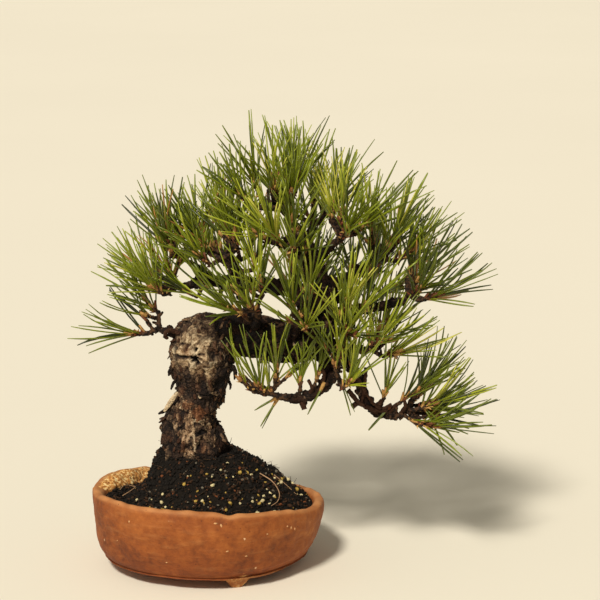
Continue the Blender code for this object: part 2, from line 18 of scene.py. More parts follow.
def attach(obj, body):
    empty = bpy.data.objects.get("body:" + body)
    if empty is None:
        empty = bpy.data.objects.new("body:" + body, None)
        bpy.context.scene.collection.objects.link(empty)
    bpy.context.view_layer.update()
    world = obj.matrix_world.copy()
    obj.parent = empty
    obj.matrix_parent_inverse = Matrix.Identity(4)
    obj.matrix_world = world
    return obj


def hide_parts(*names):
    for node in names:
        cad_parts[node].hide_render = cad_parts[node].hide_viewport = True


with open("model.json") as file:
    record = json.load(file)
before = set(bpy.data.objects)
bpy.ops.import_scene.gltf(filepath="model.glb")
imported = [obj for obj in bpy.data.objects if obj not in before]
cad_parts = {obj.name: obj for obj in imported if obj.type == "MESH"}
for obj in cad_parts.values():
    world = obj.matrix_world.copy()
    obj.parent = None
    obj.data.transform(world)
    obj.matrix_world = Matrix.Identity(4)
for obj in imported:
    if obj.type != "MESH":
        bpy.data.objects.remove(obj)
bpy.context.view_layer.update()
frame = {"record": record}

# Without a seed, the noise vectors that warp the bark's plates differ in every run
NOISE_SEED = 7
noise.seed_set(NOISE_SEED)

MM = 0.001
GAP = 0.3 * MM
GOLDEN_ANGLE = math.pi * (3 - math.sqrt(5))

# Pot: outer and inner sections as (radius, height) pairs in millimetres
RIM_HEIGHT = 37 * MM
BASE_UNDERSIDE = 6 * MM
BASE_TOP = 12 * MM
POT_OUTSIDE = [(56.4, 37), (58.0, 36), (58.5, 33), (58, 26), (56, 17.5), (52.2, 9.5), (49, 6.7), (46, 6)]
POT_INSIDE = [(42, 12), (48.2, 15), (51.2, 22), (52.6, 29), (53, 34), (54.4, 36.4)]
LUMP_ANGLE = math.radians(144)
LUMP_SPREAD = math.radians(23)
LUMP_LIFT = 1.8 * MM
LUMP_THICKNESS = 12 * MM
LUMP_TOP_SHARE = 0.25
LEAN_LEFT = 1.2 * MM
DIP_FROM = (math.radians(-55), math.radians(-25))
DIP_TO = (math.radians(110), math.radians(130))
DIP_DEPTH = 2.4 * MM
RIM_TILT_X = -2.3 * MM
RIM_TILT_Y = -5.4 * MM
ROUND_WAVES = [(0.007, 2, 0.8), (0.005, 5, 2.2)]
RIM_WAVES = [(0.4 * MM, 3, 0.9), (0.3 * MM, 7, 0.3)]
DENT_DEPTH = 0.9 * MM
DENT_ANGLE = math.radians(-42)
DENT_SPREAD = math.radians(11)
DENT_HEIGHT = 19 * MM
DENT_REACH = 7 * MM
BASE_PUSH = 4.3 * MM
BASE_PUSH_ANGLE = math.radians(-165)
BASE_PUSH_SPREAD = math.radians(30)
BASE_PUSH_TOP = 26 * MM
FOOT_ANGLES = [math.radians(angle) for angle in (-71, 49, 169)]
FOOT_DISTANCE = 45 * MM

# Soil
SOIL_TOP = 57.7 * MM
SOIL_EDGE = 34 * MM
TRUNK_FOOT_X = -7 * MM
LEVEL_PART = 0.35
SOIL_SINK = 0.4 * MM  # how far the smooth mound lies under the grains
MOUND_CURVE = 1.35
LEFT_STEEPNESS = 5
LUMPY_DEPTH = 2.4 * MM
LUMPY_SIZE = 6.5 * MM

# Trunk: centre line and radius as (x, y, z, radius) in millimetres
STUMP = [
    (-7, 0, 58, 16.0), (-8, 0, 64, 15.4), (-9.5, 0, 70, 13.9), (-8.5, 0, 76.5, 12.3), (-6.7, 0, 82, 11.3),
    (-4.7, 0, 88, 12.2), (-3.7, 0, 94, 13.0), (-3.3, 0, 101, 15.3), (-3, 0, 107, 16.2), (-2.2, 0, 113, 15.6),
    (-1.8, 0, 118, 14.6), (-1.2, 0, 123, 12.0), (-1, 0, 126.5, 7.8), (-1, 0, 128.8, 2.5),
]  # fmt: skip
LEADER = [
    (-2, 0, 114, 9.0), (8, 0, 117, 10.6), (20, -1, 118, 11.0), (32, -2, 116, 10.5), (44, -2, 114, 9.8),
    (53, -1, 118, 9.0), (57.5, 0, 127, 7.8), (56.5, 1, 138, 6.8), (53.5, 2, 150, 5.6), (49, 3, 162, 4.2),
    (43, 3, 173, 2.4),
]  # fmt: skip
FLARE_LOBES = 5
FLARE_HEIGHT = 13 * MM
FLARE_PHASE = 0.7
FLARE_WIDTH = 0.03
LOBE_DEPTH = 0.075
BARK_DEPTH = 1.6 * MM
BARK_REACH = 1 * MM
BARK_SIZE = 5.5  # millimetres, on the stump
LEADER_BARK_DEPTH = 0.72 * MM
LEADER_BARK_SIZE = 6
PATH_STEP = 5

# Boughs: name, what it grows from, first and last radius, and its centre line in millimetres
BOUGHS = [
    ("left_bough", "trunk", 4.4, 2.2,
     [(55, 2, 134), (40, 7, 140), (24, 9, 142), (8, 9, 143), (-2, 8, 144), (-9, 7, 142)]),
    ("left_top_bough", "left_bough", 2.0, 1.6, [(2, 8.5, 144), (-3, 7.5, 149), (-7, 7, 152)]),
    ("upper_left_bough", "left_bough", 2.4, 1.8, [(18, 9, 142.5), (15, 6, 149), (13, 3, 154)]),
    ("left_low_bough", "trunk", 2.6, 1.8, [(-8, -1, 116), (-18, -2, 119.5), (-22, -2, 120.5)]),
    ("back_left_bough", "trunk", 3.0, 2.0, [(24, 0, 118), (20, 16, 128), (15, 26, 136), (12, 31, 142)]),
    ("back_middle_bough", "trunk", 3.0, 2.0, [(46, 0, 115), (47, 15, 123), (46, 27, 129)]),
    ("back_right_bough", "trunk", 2.8, 2.0, [(57, 1, 131), (66, 12, 135), (74, 20, 136)]),
    ("upper_front_bough", "trunk", 2.2, 1.7, [(51, 3, 157), (45, -5, 161), (42, -9, 163)]),
    ("apex_back_bough", "trunk", 2.4, 1.8, [(48, 3, 163), (51, 11, 166), (52, 17, 168)]),
    ("upper_right_bough", "trunk", 2.8, 1.9, [(52, 2, 153), (58, 0, 160), (62, -2, 164)]),
    ("right_bough", "trunk", 3.6, 2.2, [(56, 1, 140), (67, 3, 145), (76, 4, 150), (81, 4, 153)]),
    ("right_low_bough", "trunk", 3.2, 2.0, [(57, 0, 124), (70, 1, 130), (84, 1, 132), (96, 0, 135)]),
    ("right_middle_bough", "trunk", 3.8, 2.2, [(53, -1, 116), (66, -3, 112), (75, -4, 111)]),
    ("front_right_bough", "trunk", 2.6, 1.8, [(56, -1, 120), (62, -9, 121), (65, -13, 123)]),
    ("front_middle_bough", "trunk", 2.4, 1.8, [(42, -2, 115), (44, -12, 123), (45, -16, 127)]),
    ("front_left_bough", "trunk", 2.4, 1.8, [(22, -1, 118), (24, -12, 126), (25, -15, 131)]),
    ("low_front_bough", "trunk", 3.2, 2.0,
     [(53, -3, 114), (59, -9, 105), (60, -12, 97), (54, -13.5, 91.5), (46, -14.5, 88.5), (38, -15, 89.5)]),
    ("low_right_bough", "low_front_bough", 2.2, 1.7, [(60, -11.5, 97.5), (62, -15, 100), (63, -16, 101)]),
    ("cascade_bough", "right_middle_bough", 2.8, 2.2,
     [(66, -3.5, 112), (71, -5, 105), (75.5, -5.5, 96), (78.5, -5, 86.5), (85, -4.5, 79.5), (93, -4, 77)]),
]  # fmt: skip

# Masses: name, limb, heart, way it faces, half-width, height and number of shoots, in millimetres
MASSES = [
    ("apex_foliage", "trunk", (36, 2, 183), (-0.05, -0.1, 1.0), 16, 5, 6),
    ("apex_back_foliage", "apex_back_bough", (52, 23, 171), (0.1, 0.7, 0.7), 11, 4, 4),
    ("upper_left_foliage", "upper_left_bough", (11, 0, 159), (-0.45, -0.1, 0.9), 14, 5, 5),
    ("upper_front_foliage", "upper_front_bough", (38, -15, 167), (-0.3, -0.65, 0.7), 9, 3, 4),
    ("left_top_foliage", "left_top_bough", (-14, 5, 157), (-0.3, 0.0, 0.95), 8, 3, 3),
    ("left_foliage", "left_bough", (-19, 6, 140), (-0.75, 0.0, 0.65), 9, 3, 4),
    ("left_low_foliage", "left_low_bough", (-24.5, -2, 121.5), (-1.0, -0.05, 0.05), 4, 2, 2),
    ("front_left_foliage", "front_left_bough", (25, -19, 136), (-0.35, -0.7, 0.5), 9, 3, 3),
    ("front_middle_foliage", "front_middle_bough", (46, -21, 131), (0.0, -0.8, 0.5), 9, 3, 3),
    ("front_right_foliage", "front_right_bough", (68, -17, 127), (0.3, -0.65, 0.6), 9, 3, 3),
    ("upper_right_foliage", "upper_right_bough", (66, -3, 169), (0.4, -0.1, 0.9), 10, 4, 4),
    ("right_top_foliage", "right_bough", (87, 4, 157), (0.4, 0.0, 0.9), 9, 4, 4),
    ("right_foliage", "right_low_bough", (100, 0, 139), (0.82, 0.0, 0.5), 10, 4, 4),
    ("right_middle_foliage", "right_middle_bough", (82, -4, 112), (0.85, -0.1, 0.4), 10, 4, 4),
    ("cascade_foliage", "cascade_bough", (101, -3, 80), (0.98, 0.0, 0.15), 10, 4, 5),
    ("low_front_foliage", "low_front_bough", (30, -15, 92), (-0.35, -0.5, 0.75), 8, 2, 3),
    ("low_right_foliage", "low_right_bough", (64, -17, 103), (0.3, -0.5, 0.8), 8, 2, 3),
    ("back_left_foliage", "back_left_bough", (10, 37, 147), (-0.35, 0.75, 0.55), 11, 4, 4),
    ("back_middle_foliage", "back_middle_bough", (46, 34, 134), (0.0, 0.9, 0.4), 11, 4, 4),
    ("back_right_foliage", "back_right_bough", (81, 26, 138), (0.5, 0.75, 0.4), 11, 4, 4),
]  # fmt: skip

# Shoots and needles, as the solids have them
DOME_START = 0.35
SHOOT_LEAN = (0.75, 1.0)
SHOOT_RISE = 0.25
SHOOT_LENGTH = 9 * MM
SHOOT_RADIUS = 1.5 * MM
TWIG_RADIUS = 1.2 * MM
FORK_SPAN = 0.25
NEEDLES_PER_SHOOT = 8
NEEDLE_LENGTH = 36 * MM
NEEDLE_LENGTHS = (0.88, 1.0)
LOW_NEEDLE_SHARE = 0.82
NEEDLE_RADIUS = 0.95 * MM
FIRST_NEEDLE = 0.12
NEEDLE_SPAN = 0.8
OPENING_LOW = math.radians(50)
OPENING_HIGH = math.radians(12)
OPENING_CURVE = 0.8
TURN_UP = 0.18
DEPTH_TURN_UP = 0.45
NEEDLE_TRIES = 12
TRY_SPREAD = 0.1
TRY_OPENING = 0.4
SHOOT_TRIES = 10
SHOOT_NUDGE = 0.8 * MM
OVER_POT = 75 * MM
LOWEST_NEEDLE = 62 * MM

# Finer growth between the solids' needles
PAIRS_PER_SHOOT = 1
SIDE_SHOOTS = 1
SIDE_LENGTH = 7 * MM
SIDE_RADIUS = 1.0 * MM
SIDE_PAIRS = 2
SIDE_NEEDLE = 32 * MM
FINE_LOW = 0.35
FINE_RADIUS = 0.51 * MM
NEEDLE_FLATNESS = 0.78
PAIR_OPENING = (0.02, 0.19)
NEEDLE_SWAY = 0.075
SHEATH_LENGTH = 4.5 * MM
SPURS_PER_SHOOT = 3
SCALES_PER_SHOOT = 9
SHADES = [
    ("deep", (47, 55, 6)), ("dark", (74, 85, 8)), ("mid", (103, 114, 14)), ("fresh", (131, 143, 26)),
    ("bright", (163, 170, 42)), ("yellow", (198, 194, 76)), ("dry", (172, 124, 60)),
]  # fmt: skip
DRY_SHARE = 0.015

EXTRA_SHOOTS = [
    ("low_front_foliage", (46, -14.5, 88.5), (46, -16, 92.5), (0.05, -0.35, 0.95), 6),
    ("low_front_foliage", (54, -13.5, 91.5), (53, -15.5, 95), (0.3, -0.2, 0.95), 5),
    ("low_right_foliage", (75, -5.5, 98), (71, -9, 101), (0.15, -0.3, 0.9), 5),
    ("cascade_foliage", (85, -4.5, 79.5), (87, -6, 84), (0.3, -0.25, 0.9), 5),
    ("cascade_foliage", (93, -4, 77), (94.5, -6, 83), (0.75, -0.15, 0.65), 5),
    ("cascade_foliage", (93, -4, 77), (98, -6, 78), (0.8, -0.2, -0.5), 3),
    ("front_left_foliage", (24, -12, 126), (21, -13, 128), (-0.5, -0.5, 0.6), 4),
    ("left_foliage", (-2, 8, 144), (-5, 2, 137), (-0.85, -0.2, 0.4), 5),
    ("left_foliage", (8, 9, 143), (5, 1, 135.5), (-0.6, -0.3, 0.7), 6),
    ("left_foliage", (-2, 8, 144), (-1, 3, 141), (-0.4, -0.4, 0.85), 5),
    ("upper_left_foliage", (24, 9, 142), (17, 0, 138), (-0.75, -0.4, 0.5), 5),
    ("upper_left_foliage", (15, 6, 149), (23, -4, 152), (0.15, -0.5, 0.85), 6),
    ("upper_front_foliage", (45, -5, 161), (47, -11, 158), (0.2, -0.5, 0.85), 5),
    ("right_top_foliage", (76, 4, 150), (78, -3, 148), (0.5, -0.4, 0.75), 5),
]  # mass, where its twig leaves the limb, its foot, its direction and its pairs of needles, in millimetres
LOOSE_NEEDLES = [
    ((35, -15.5, 89), (26.5, -18, 75.5)), ((34.5, -15.5, 89.5), (24, -18, 83)), ((66, -16, 99), (74, -18, 79.5)),
    ((91, -6, 82), (80, -10, 73)), ((108, -5, 82), (122, -9, 60.5)), ((58, -16, 97), (50, -20, 82)),
]  # root and tip of hanging pairs, in millimetres
CLEARINGS = [(-22, 9, 84, 124), (5, 26, 90, 119)]  # x and z of places in front of the trunk that stay open
CLEARING_FRONT = -6 * MM

# Camera, at the photograph's viewing angle
CAMERA_TARGET = Vector((46 * MM, 0, 135.8 * MM))  # from the pot's axis
CAMERA_ELEVATION = math.radians(12.5)
CAMERA_DISTANCE = 1.15
CAMERA_LENS = 138

mount = frame["record"]["mounts"][0]["pos_m"]
AXIS = Vector((
    mount[0] - FOOT_DISTANCE * math.cos(FOOT_ANGLES[0]), mount[1] - FOOT_DISTANCE * math.sin(FOOT_ANGLES[0]), 0,
))  # fmt: skip


def colour(red, green, blue):
    """Scene-linear colour of an sRGB one in bytes."""
    parts = [byte / 255 for byte in (red, green, blue)]
    return (*(part / 12.92 if part < 0.04045 else ((part + 0.055) / 1.055) ** 2.4 for part in parts), 1)


def smooth_step(low, high, value):
    part = np.clip((value - low) / (high - low), 0.0, 1.0)
    return part * part * (3 - 2 * part)


def bell(away, spread):
    """A smooth bump of height 1."""
    return np.exp(-0.5 * (away / spread) ** 2)


def bell_round(angle, middle, spread):
    """The same bump round a circle."""
    return bell((angle - middle + math.pi) % math.tau - math.pi, spread)


def waves(rows, angle):
    return sum(size * np.sin(count * angle + phase) for size, count, phase in rows)


def unit(rows):
    return rows / np.maximum(np.linalg.norm(rows, axis=-1, keepdims=True), 1e-12)


# Materials


class Look:
    """A Principled material, with short calls that add its nodes. Sizes are in metres."""

    def __init__(self, name, roughness, specular=0.5):
        self.material = bpy.data.materials.new(name)
        self.material.use_nodes = True
        self.tree = self.material.node_tree
        self.shader = self.tree.nodes["Principled BSDF"]
        self.shader.inputs["Roughness"].default_value = roughness
        self.shader.inputs["Specular IOR Level"].default_value = specular
        self.place = self.node("ShaderNodeTexCoord").outputs["Object"]

    def node(self, kind, **settings):
        node = self.tree.nodes.new(kind)
        for name, value in settings.items():
            setattr(node, name, value)
        return node

    def put(self, socket, value):
        """Link an output to a socket, or set the socket's own value."""
        if isinstance(value, bpy.types.NodeSocket):
            self.tree.links.new(value, socket)
        else:
            socket.default_value = value

    def stretched(self, x, y, z):
        mapping = self.node("ShaderNodeMapping")
        self.put(mapping.inputs["Vector"], self.place)
        mapping.inputs["Scale"].default_value = (x, y, z)
        return mapping.outputs["Vector"]

    def noise(self, size, detail=4.0, roughness=0.55, place=None):
        node = self.node("ShaderNodeTexNoise")
        self.put(node.inputs["Vector"], place or self.place)
        node.inputs["Scale"].default_value = 1 / size
        node.inputs["Detail"].default_value = detail
        node.inputs["Roughness"].default_value = roughness
        return node.outputs["Fac"]

    def cells(self, size, feature="F1", output="Distance", place=None):
        node = self.node("ShaderNodeTexVoronoi", feature=feature)
        self.put(node.inputs["Vector"], place or self.place)
        node.inputs["Scale"].default_value = 1 / size
        return node.outputs[output]

    def attribute(self, name):
        return self.node("ShaderNodeAttribute", attribute_name=name).outputs["Fac"]

    def height(self):
        separate = self.node("ShaderNodeSeparateXYZ")
        self.put(separate.inputs[0], self.place)
        return separate.outputs["Z"]

    def span(self, value, low, high, out_low=0.0, out_high=1.0):
        node = self.node("ShaderNodeMapRange")
        self.put(node.inputs["Value"], value)
        for name, number in (("From Min", low), ("From Max", high), ("To Min", out_low), ("To Max", out_high)):
            node.inputs[name].default_value = number
        return node.outputs["Result"]

    def ramp(self, factor, stops):
        node = self.node("ShaderNodeValToRGB")
        self.put(node.inputs["Fac"], factor)
        points = node.color_ramp.elements
        while len(points) < len(stops):
            points.new(0.5)
        for point, (at, shade) in zip(points, stops):
            point.position = at
            point.color = shade
        return node.outputs["Color"]

    def mix(self, factor, first, second, blend="MIX"):
        node = self.node("ShaderNodeMix", data_type="RGBA", blend_type=blend)
        self.put(node.inputs["Factor"], factor)
        self.put(node.inputs[6], first)
        self.put(node.inputs[7], second)
        return node.outputs[2]

    def maths(self, operation, first, second=0.0):
        node = self.node("ShaderNodeMath", operation=operation)
        self.put(node.inputs[0], first)
        self.put(node.inputs[1], second)
        return node.outputs[0]

    def bump(self, height, depth, strength=1.0):
        node = self.node("ShaderNodeBump")
        self.put(node.inputs["Height"], height)
        node.inputs["Distance"].default_value = depth
        node.inputs["Strength"].default_value = strength
        self.put(self.shader.inputs["Normal"], node.outputs["Normal"])

    def paint(self, base):
        self.put(self.shader.inputs["Base Color"], base)
        return self.material


def bark_look():
    """Rough plates from near black through grey-brown to pale tan, rusty where the bark has come off."""
    look = Look("pine_bark", 0.88, 0.25)
    fine = look.noise(1.1 * MM, 5, 0.65)
    tone = look.maths("ADD", look.attribute("tone"), look.span(fine, 0.3, 0.7, -0.22, 0.22))
    plates = look.ramp(tone, [
        (0.0, colour(24, 17, 13)), (0.25, colour(52, 37, 28)), (0.5, colour(98, 77, 58)),
        (0.75, colour(170, 142, 108)), (1.0, colour(226, 203, 166)),
    ])  # fmt: skip
    rusty = look.mix(look.attribute("rust"), plates, colour(142, 84, 46))
    # Near black where the attribute is high: painted shade in the bark's crevices, on the trunk's side away from the
    # main light, and in the wound's holes, split and creases.
    shaded = look.mix(look.attribute("painted_shade"), rusty, colour(18, 13, 12))
    look.bump(look.maths("ADD", fine, look.cells(0.9 * MM)), 0.55 * MM, 1.0)
    return look.paint(shaded)


def twig_look():
    look = Look("twig_bark", 0.85, 0.3)
    scale = look.cells(1.6 * MM)
    base = look.ramp(look.maths("ADD", look.span(scale, 0, 1, 0, 0.6), look.noise(2.5 * MM)), [
        (0.4, colour(20, 15, 12)), (0.75, colour(40, 28, 21)), (0.95, colour(88, 62, 41)),
    ])  # fmt: skip
    look.bump(scale, 0.3 * MM, 0.7)
    return look.paint(base)


def plain_look(name, base, roughness, variation, size, specular=0.5):
    """One plain colour that a fine noise makes a little lighter and darker."""
    look = Look(name, roughness, specular)
    darker = tuple(part * (1 - variation) for part in base[:3]) + (1,)
    lighter = tuple(min(part * (1 + variation), 1) for part in base[:3]) + (1,)
    grain = look.noise(size, 3)
    look.bump(grain, 0.08 * MM, 0.4)
    return look.paint(look.ramp(grain, [(0.35, darker), (0.65, lighter)]))


def clay_look():
    """Unglazed terracotta: mottled orange-brown, lighter at the rim, redder below, with pale chips."""
    look = Look("terracotta", 0.72, 0.35)
    broad = look.noise(26 * MM, 5, 0.6)
    fine = look.noise(3.2 * MM, 6, 0.65)
    tone = look.maths("ADD", look.span(broad, 0.3, 0.7, 0, 0.65), look.span(fine, 0.3, 0.7, -0.05, 0.3))
    body = look.ramp(tone, [
        (0.05, colour(106, 53, 22)), (0.4, colour(146, 77, 29)), (0.7, colour(168, 95, 39)),
        (1.0, colour(196, 125, 62)),
    ])  # fmt: skip
    low = look.span(look.height(), 8 * MM, 24 * MM, 0.6, 0)
    red = look.mix(look.maths("MULTIPLY", low, broad), body, colour(116, 50, 27))
    rim = look.mix(look.attribute("edge"), red, colour(204, 140, 84))
    lump_grain = look.maths("ADD", look.cells(1.3 * MM), look.noise(2.4 * MM, 5, 0.7))
    # Grainy ochre of the roll; its lightest speckles are painted highlights on the grains.
    ochre = look.ramp(look.maths("MULTIPLY", lump_grain, 0.6), [
        (0.34, colour(122, 72, 32)), (0.54, colour(188, 126, 62)), (0.68, colour(224, 168, 94)),
        (0.8, colour(253, 226, 164)),
    ])  # fmt: skip
    # Where the attribute is lower, on the roll's underside, the ochre gives way to the darker body: painted shade.
    lump = look.mix(look.attribute("lump"), rim, ochre)
    ragged = look.maths("ADD", look.cells(11 * MM), look.span(look.noise(1.5 * MM), 0.3, 0.7, -0.03, 0.05))
    chips = look.maths("MULTIPLY", look.span(ragged, 0.075, 0.05), look.span(look.noise(14 * MM), 0.5, 0.56))
    chipped = look.mix(chips, lump, colour(232, 190, 146))
    pores = look.maths("MULTIPLY", look.span(look.cells(3.7 * MM), 0.1, 0.05, 0, 0.8),
                       look.span(look.attribute("lump"), 0, 0.3, 1, 0))
    streaks = look.noise(3.2 * MM, 3, 0.6, look.stretched(0.22, 0.22, 1))
    relief = look.maths("ADD", fine, look.maths("MULTIPLY", look.noise(0.7 * MM, 3), 0.5))
    look.bump(look.maths("ADD", relief, look.maths("MULTIPLY", streaks, 1.6)), 0.5 * MM, 0.7)
    streaked = look.mix(look.span(streaks, 0.52, 0.75, 0, 0.22), chipped, colour(206, 142, 84))
    return look.paint(look.mix(pores, streaked, colour(84, 42, 26)))


def soil_look():
    look = Look("soil", 0.95, 0.15)
    fine = look.noise(1.4 * MM, 6, 0.7)
    look.bump(look.maths("ADD", fine, look.cells(1.6 * MM)), 0.9 * MM, 1.0)
    return look.paint(look.ramp(fine, [(0.3, colour(12, 11, 9)), (0.7, colour(40, 33, 26))]))


def stage_look():
    look = Look("studio_floor", 0.9, 0.1)
    return look.paint(look.ramp(look.noise(0.8), [(0.3, colour(241, 234, 215)), (0.7, colour(244, 237, 218))]))


# Meshes


def add_mesh(name, points, face_sets, look, stands_for, smooth=True, attributes=None):
    """A piece of the plant from points about the pot's axis, in metres, and arrays of faces."""
    mesh = bpy.data.meshes.new(name)
    mesh.vertices.add(len(points))
    mesh.vertices.foreach_set("co", (np.asarray(points) + np.array(AXIS)).astype(np.float32).ravel())
    loops = np.concatenate([np.asarray(faces).ravel() for faces in face_sets])
    sizes = np.concatenate([np.full(len(faces), np.shape(faces)[1]) for faces in face_sets])
    mesh.loops.add(len(loops))
    mesh.loops.foreach_set("vertex_index", loops.astype(np.int32))
    mesh.polygons.add(len(sizes))
    mesh.polygons.foreach_set("loop_start", (np.cumsum(sizes) - sizes).astype(np.int32))
    mesh.update(calc_edges=True)
    for key, values in (attributes or {}).items():
        mesh.attributes.new(key, "FLOAT", "POINT").data.foreach_set("value", np.asarray(values, np.float32))
    if smooth:
        mesh.shade_smooth()
    return dress(bpy.data.objects.new(name, mesh), look, stands_for)


def dress(obj, look, stands_for):
    """Give a piece its material, its body and the nodes that it stands for."""
    if obj.name not in bpy.context.scene.objects:
        bpy.context.scene.collection.objects.link(obj)
    obj.data.materials.clear()
    obj.data.materials.append(look)
    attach(obj, "root")
    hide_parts(*stands_for)
    return obj


def tubes(paths, radii, sides, flatness=1.0, rolls=0.0):
    """Points and faces of closed tubes along paths (tube, ring, xyz) with radii (tube, ring)."""
    count, rings = radii.shape
    ahead = unit(np.gradient(paths, axis=1))
    steep = np.abs(ahead[:, :1, 2:]) > 0.8
    guide = np.where(steep, [1.0, 0.0, 0.0], [0.0, 0.0, 1.0])
    across = unit(np.cross(ahead, np.broadcast_to(guide, ahead.shape)))
    beside = np.cross(ahead, across)
    rolls = np.broadcast_to(rolls, count)[:, None, None]
    across, beside = across * np.cos(rolls) + beside * np.sin(rolls), beside * np.cos(rolls) - across * np.sin(rolls)
    turn = np.arange(sides) * math.tau / sides
    ring = across[:, :, None] * np.cos(turn)[:, None] + beside[:, :, None] * np.sin(turn)[:, None] * flatness
    points = (paths[:, :, None] + ring * radii[:, :, None, None]).reshape(-1, 3)
    first = (np.arange(count) * rings * sides)[:, None, None] + (np.arange(rings - 1) * sides)[None, :, None]
    here = np.arange(sides)
    after = (here + 1) % sides
    walls = np.stack([first + here, first + after, first + sides + after, first + sides + here], axis=-1)
    foot = (np.arange(count) * rings * sides)[:, None]
    caps = np.concatenate([foot + here[::-1], foot + (rings - 1) * sides + here])
    return points, [walls.reshape(-1, 4), caps]


def bowed(starts, ends, bows, rings):
    """Paths from starts to ends whose middles are drawn aside by bows."""
    t = np.linspace(0, 1, rings)[None, :, None]
    middles = (starts + ends) / 2 + bows
    return (1 - t) ** 2 * starts[:, None] + 2 * (1 - t) * t * middles[:, None] + t**2 * ends[:, None]


def smooth_path(rows, step=PATH_STEP):
    """Points on a smooth curve through rows of numbers, the first three of which are a place."""
    rows = [np.array(row, float) for row in rows]
    rows = [2 * rows[0] - rows[1], *rows, 2 * rows[-1] - rows[-2]]
    path = []
    for before, start, end, after in zip(rows, rows[1:], rows[2:], rows[3:]):
        count = max(round(np.linalg.norm((end - start)[:3]) / step), 1)
        for index in range(count):
            t = index / count
            path.append(
                0.5 * (2 * start + (end - before) * t + (2 * before - 5 * start + 4 * end - after) * t**2
                + (3 * start - before - 3 * end + after) * t**3)
            )  # fmt: skip
    path.append(rows[-2])
    return path


# Growth, by the rule of the solids


def bough_path(first, last, line, step=PATH_STEP):
    steps = len(line) - 1
    rows = [(*place, first + (last - first) * index / steps) for index, place in enumerate(line)]
    return smooth_path(rows, step)


def limb_segments():
    """The trunk and the boughs as straight segments: rows of start, end and radius."""
    paths = [smooth_path(STUMP), smooth_path(LEADER)]
    paths += [bough_path(first, last, line) for _, _, first, last, line in BOUGHS]
    segments = []
    for path in paths:
        for start, end in zip(path, path[1:]):
            segments.append([*start[:3] * MM, *end[:3] * MM, max(start[3], end[3]) * MM + BARK_REACH])
    return np.array(segments)


def least_gap(start, end, radius, segments):
    """The least clear distance from one round segment to any of many."""
    along = np.array(end) - np.array(start)
    others = segments[:, 3:6] - segments[:, :3]
    offset = np.array(start) - segments[:, :3]
    a = along @ along
    e = (others**2).sum(1)
    b = others @ along
    c = offset @ along
    f = (others * offset).sum(1)
    s = np.clip((b * f - c * e) / np.maximum(a * e - b * b, 1e-15), 0, 1)
    t = np.clip((b * s + f) / e, 0, 1)
    s = np.clip((b * t - c) / a, 0, 1)
    distance = np.linalg.norm(offset + s[:, None] * along - t[:, None] * others, axis=1)
    return (distance - radius - segments[:, 6]).min()


def shoots_of(mass, rng):
    """Foot and direction of each shoot: golden-angle places on a dome that faces the mass's way."""
    _, _, heart, facing, half_width, height, count = mass
    heart = Vector(heart) * MM
    facing = Vector(facing).normalized()
    across = facing.orthogonal().normalized()
    beside = facing.cross(across)
    phase = rng.uniform(0, math.tau)
    for index in range(count):
        out = math.sqrt((index + DOME_START) / count)
        angle = phase + index * GOLDEN_ANGLE
        side = across * math.cos(angle) + beside * math.sin(angle)
        foot = heart + (side * half_width * out + facing * height * math.sqrt(1 - out**2)) * MM
        lean = rng.uniform(*SHOOT_LEAN) * out
        yield foot, (facing + side * lean + Vector((0, 0, SHOOT_RISE))).normalized()


def needle_of(foot, direction, along, angle, rng, spread, shoot_length=SHOOT_LENGTH, longest=NEEDLE_LENGTH):
    """Root and tip of one needle: they spiral up the shoot, and close round it towards its tip."""
    angle = angle + rng.uniform(-spread, spread)
    across = direction.orthogonal().normalized()
    side = across * math.cos(angle) + direction.cross(across) * math.sin(angle)
    opening = OPENING_LOW + (OPENING_HIGH - OPENING_LOW) * along**OPENING_CURVE
    opening += rng.uniform(-spread, spread) * TRY_OPENING
    way = direction * math.cos(opening) + side * math.sin(opening)
    way.z += TURN_UP + DEPTH_TURN_UP * abs(direction.y)
    length = longest * rng.uniform(*NEEDLE_LENGTHS)
    length *= LOW_NEEDLE_SHARE + (1 - LOW_NEEDLE_SHARE) * along
    root = foot + direction * shoot_length * (FIRST_NEEDLE + NEEDLE_SPAN * along)
    return root, root + way.normalized() * length


def limb_ends():
    """Tip, direction and radius of each limb that a mass grows on."""
    ends = {}
    paths = {"trunk": LEADER}
    for name, _, first, last, line in BOUGHS:
        paths[name] = [(*place, last) for place in line]
    for name, path in paths.items():
        before, tip = (Vector(row[:3]) * MM for row in path[-2:])
        ends[name] = (tip, (tip - before).normalized(), path[-1][3] * MM)
    return ends


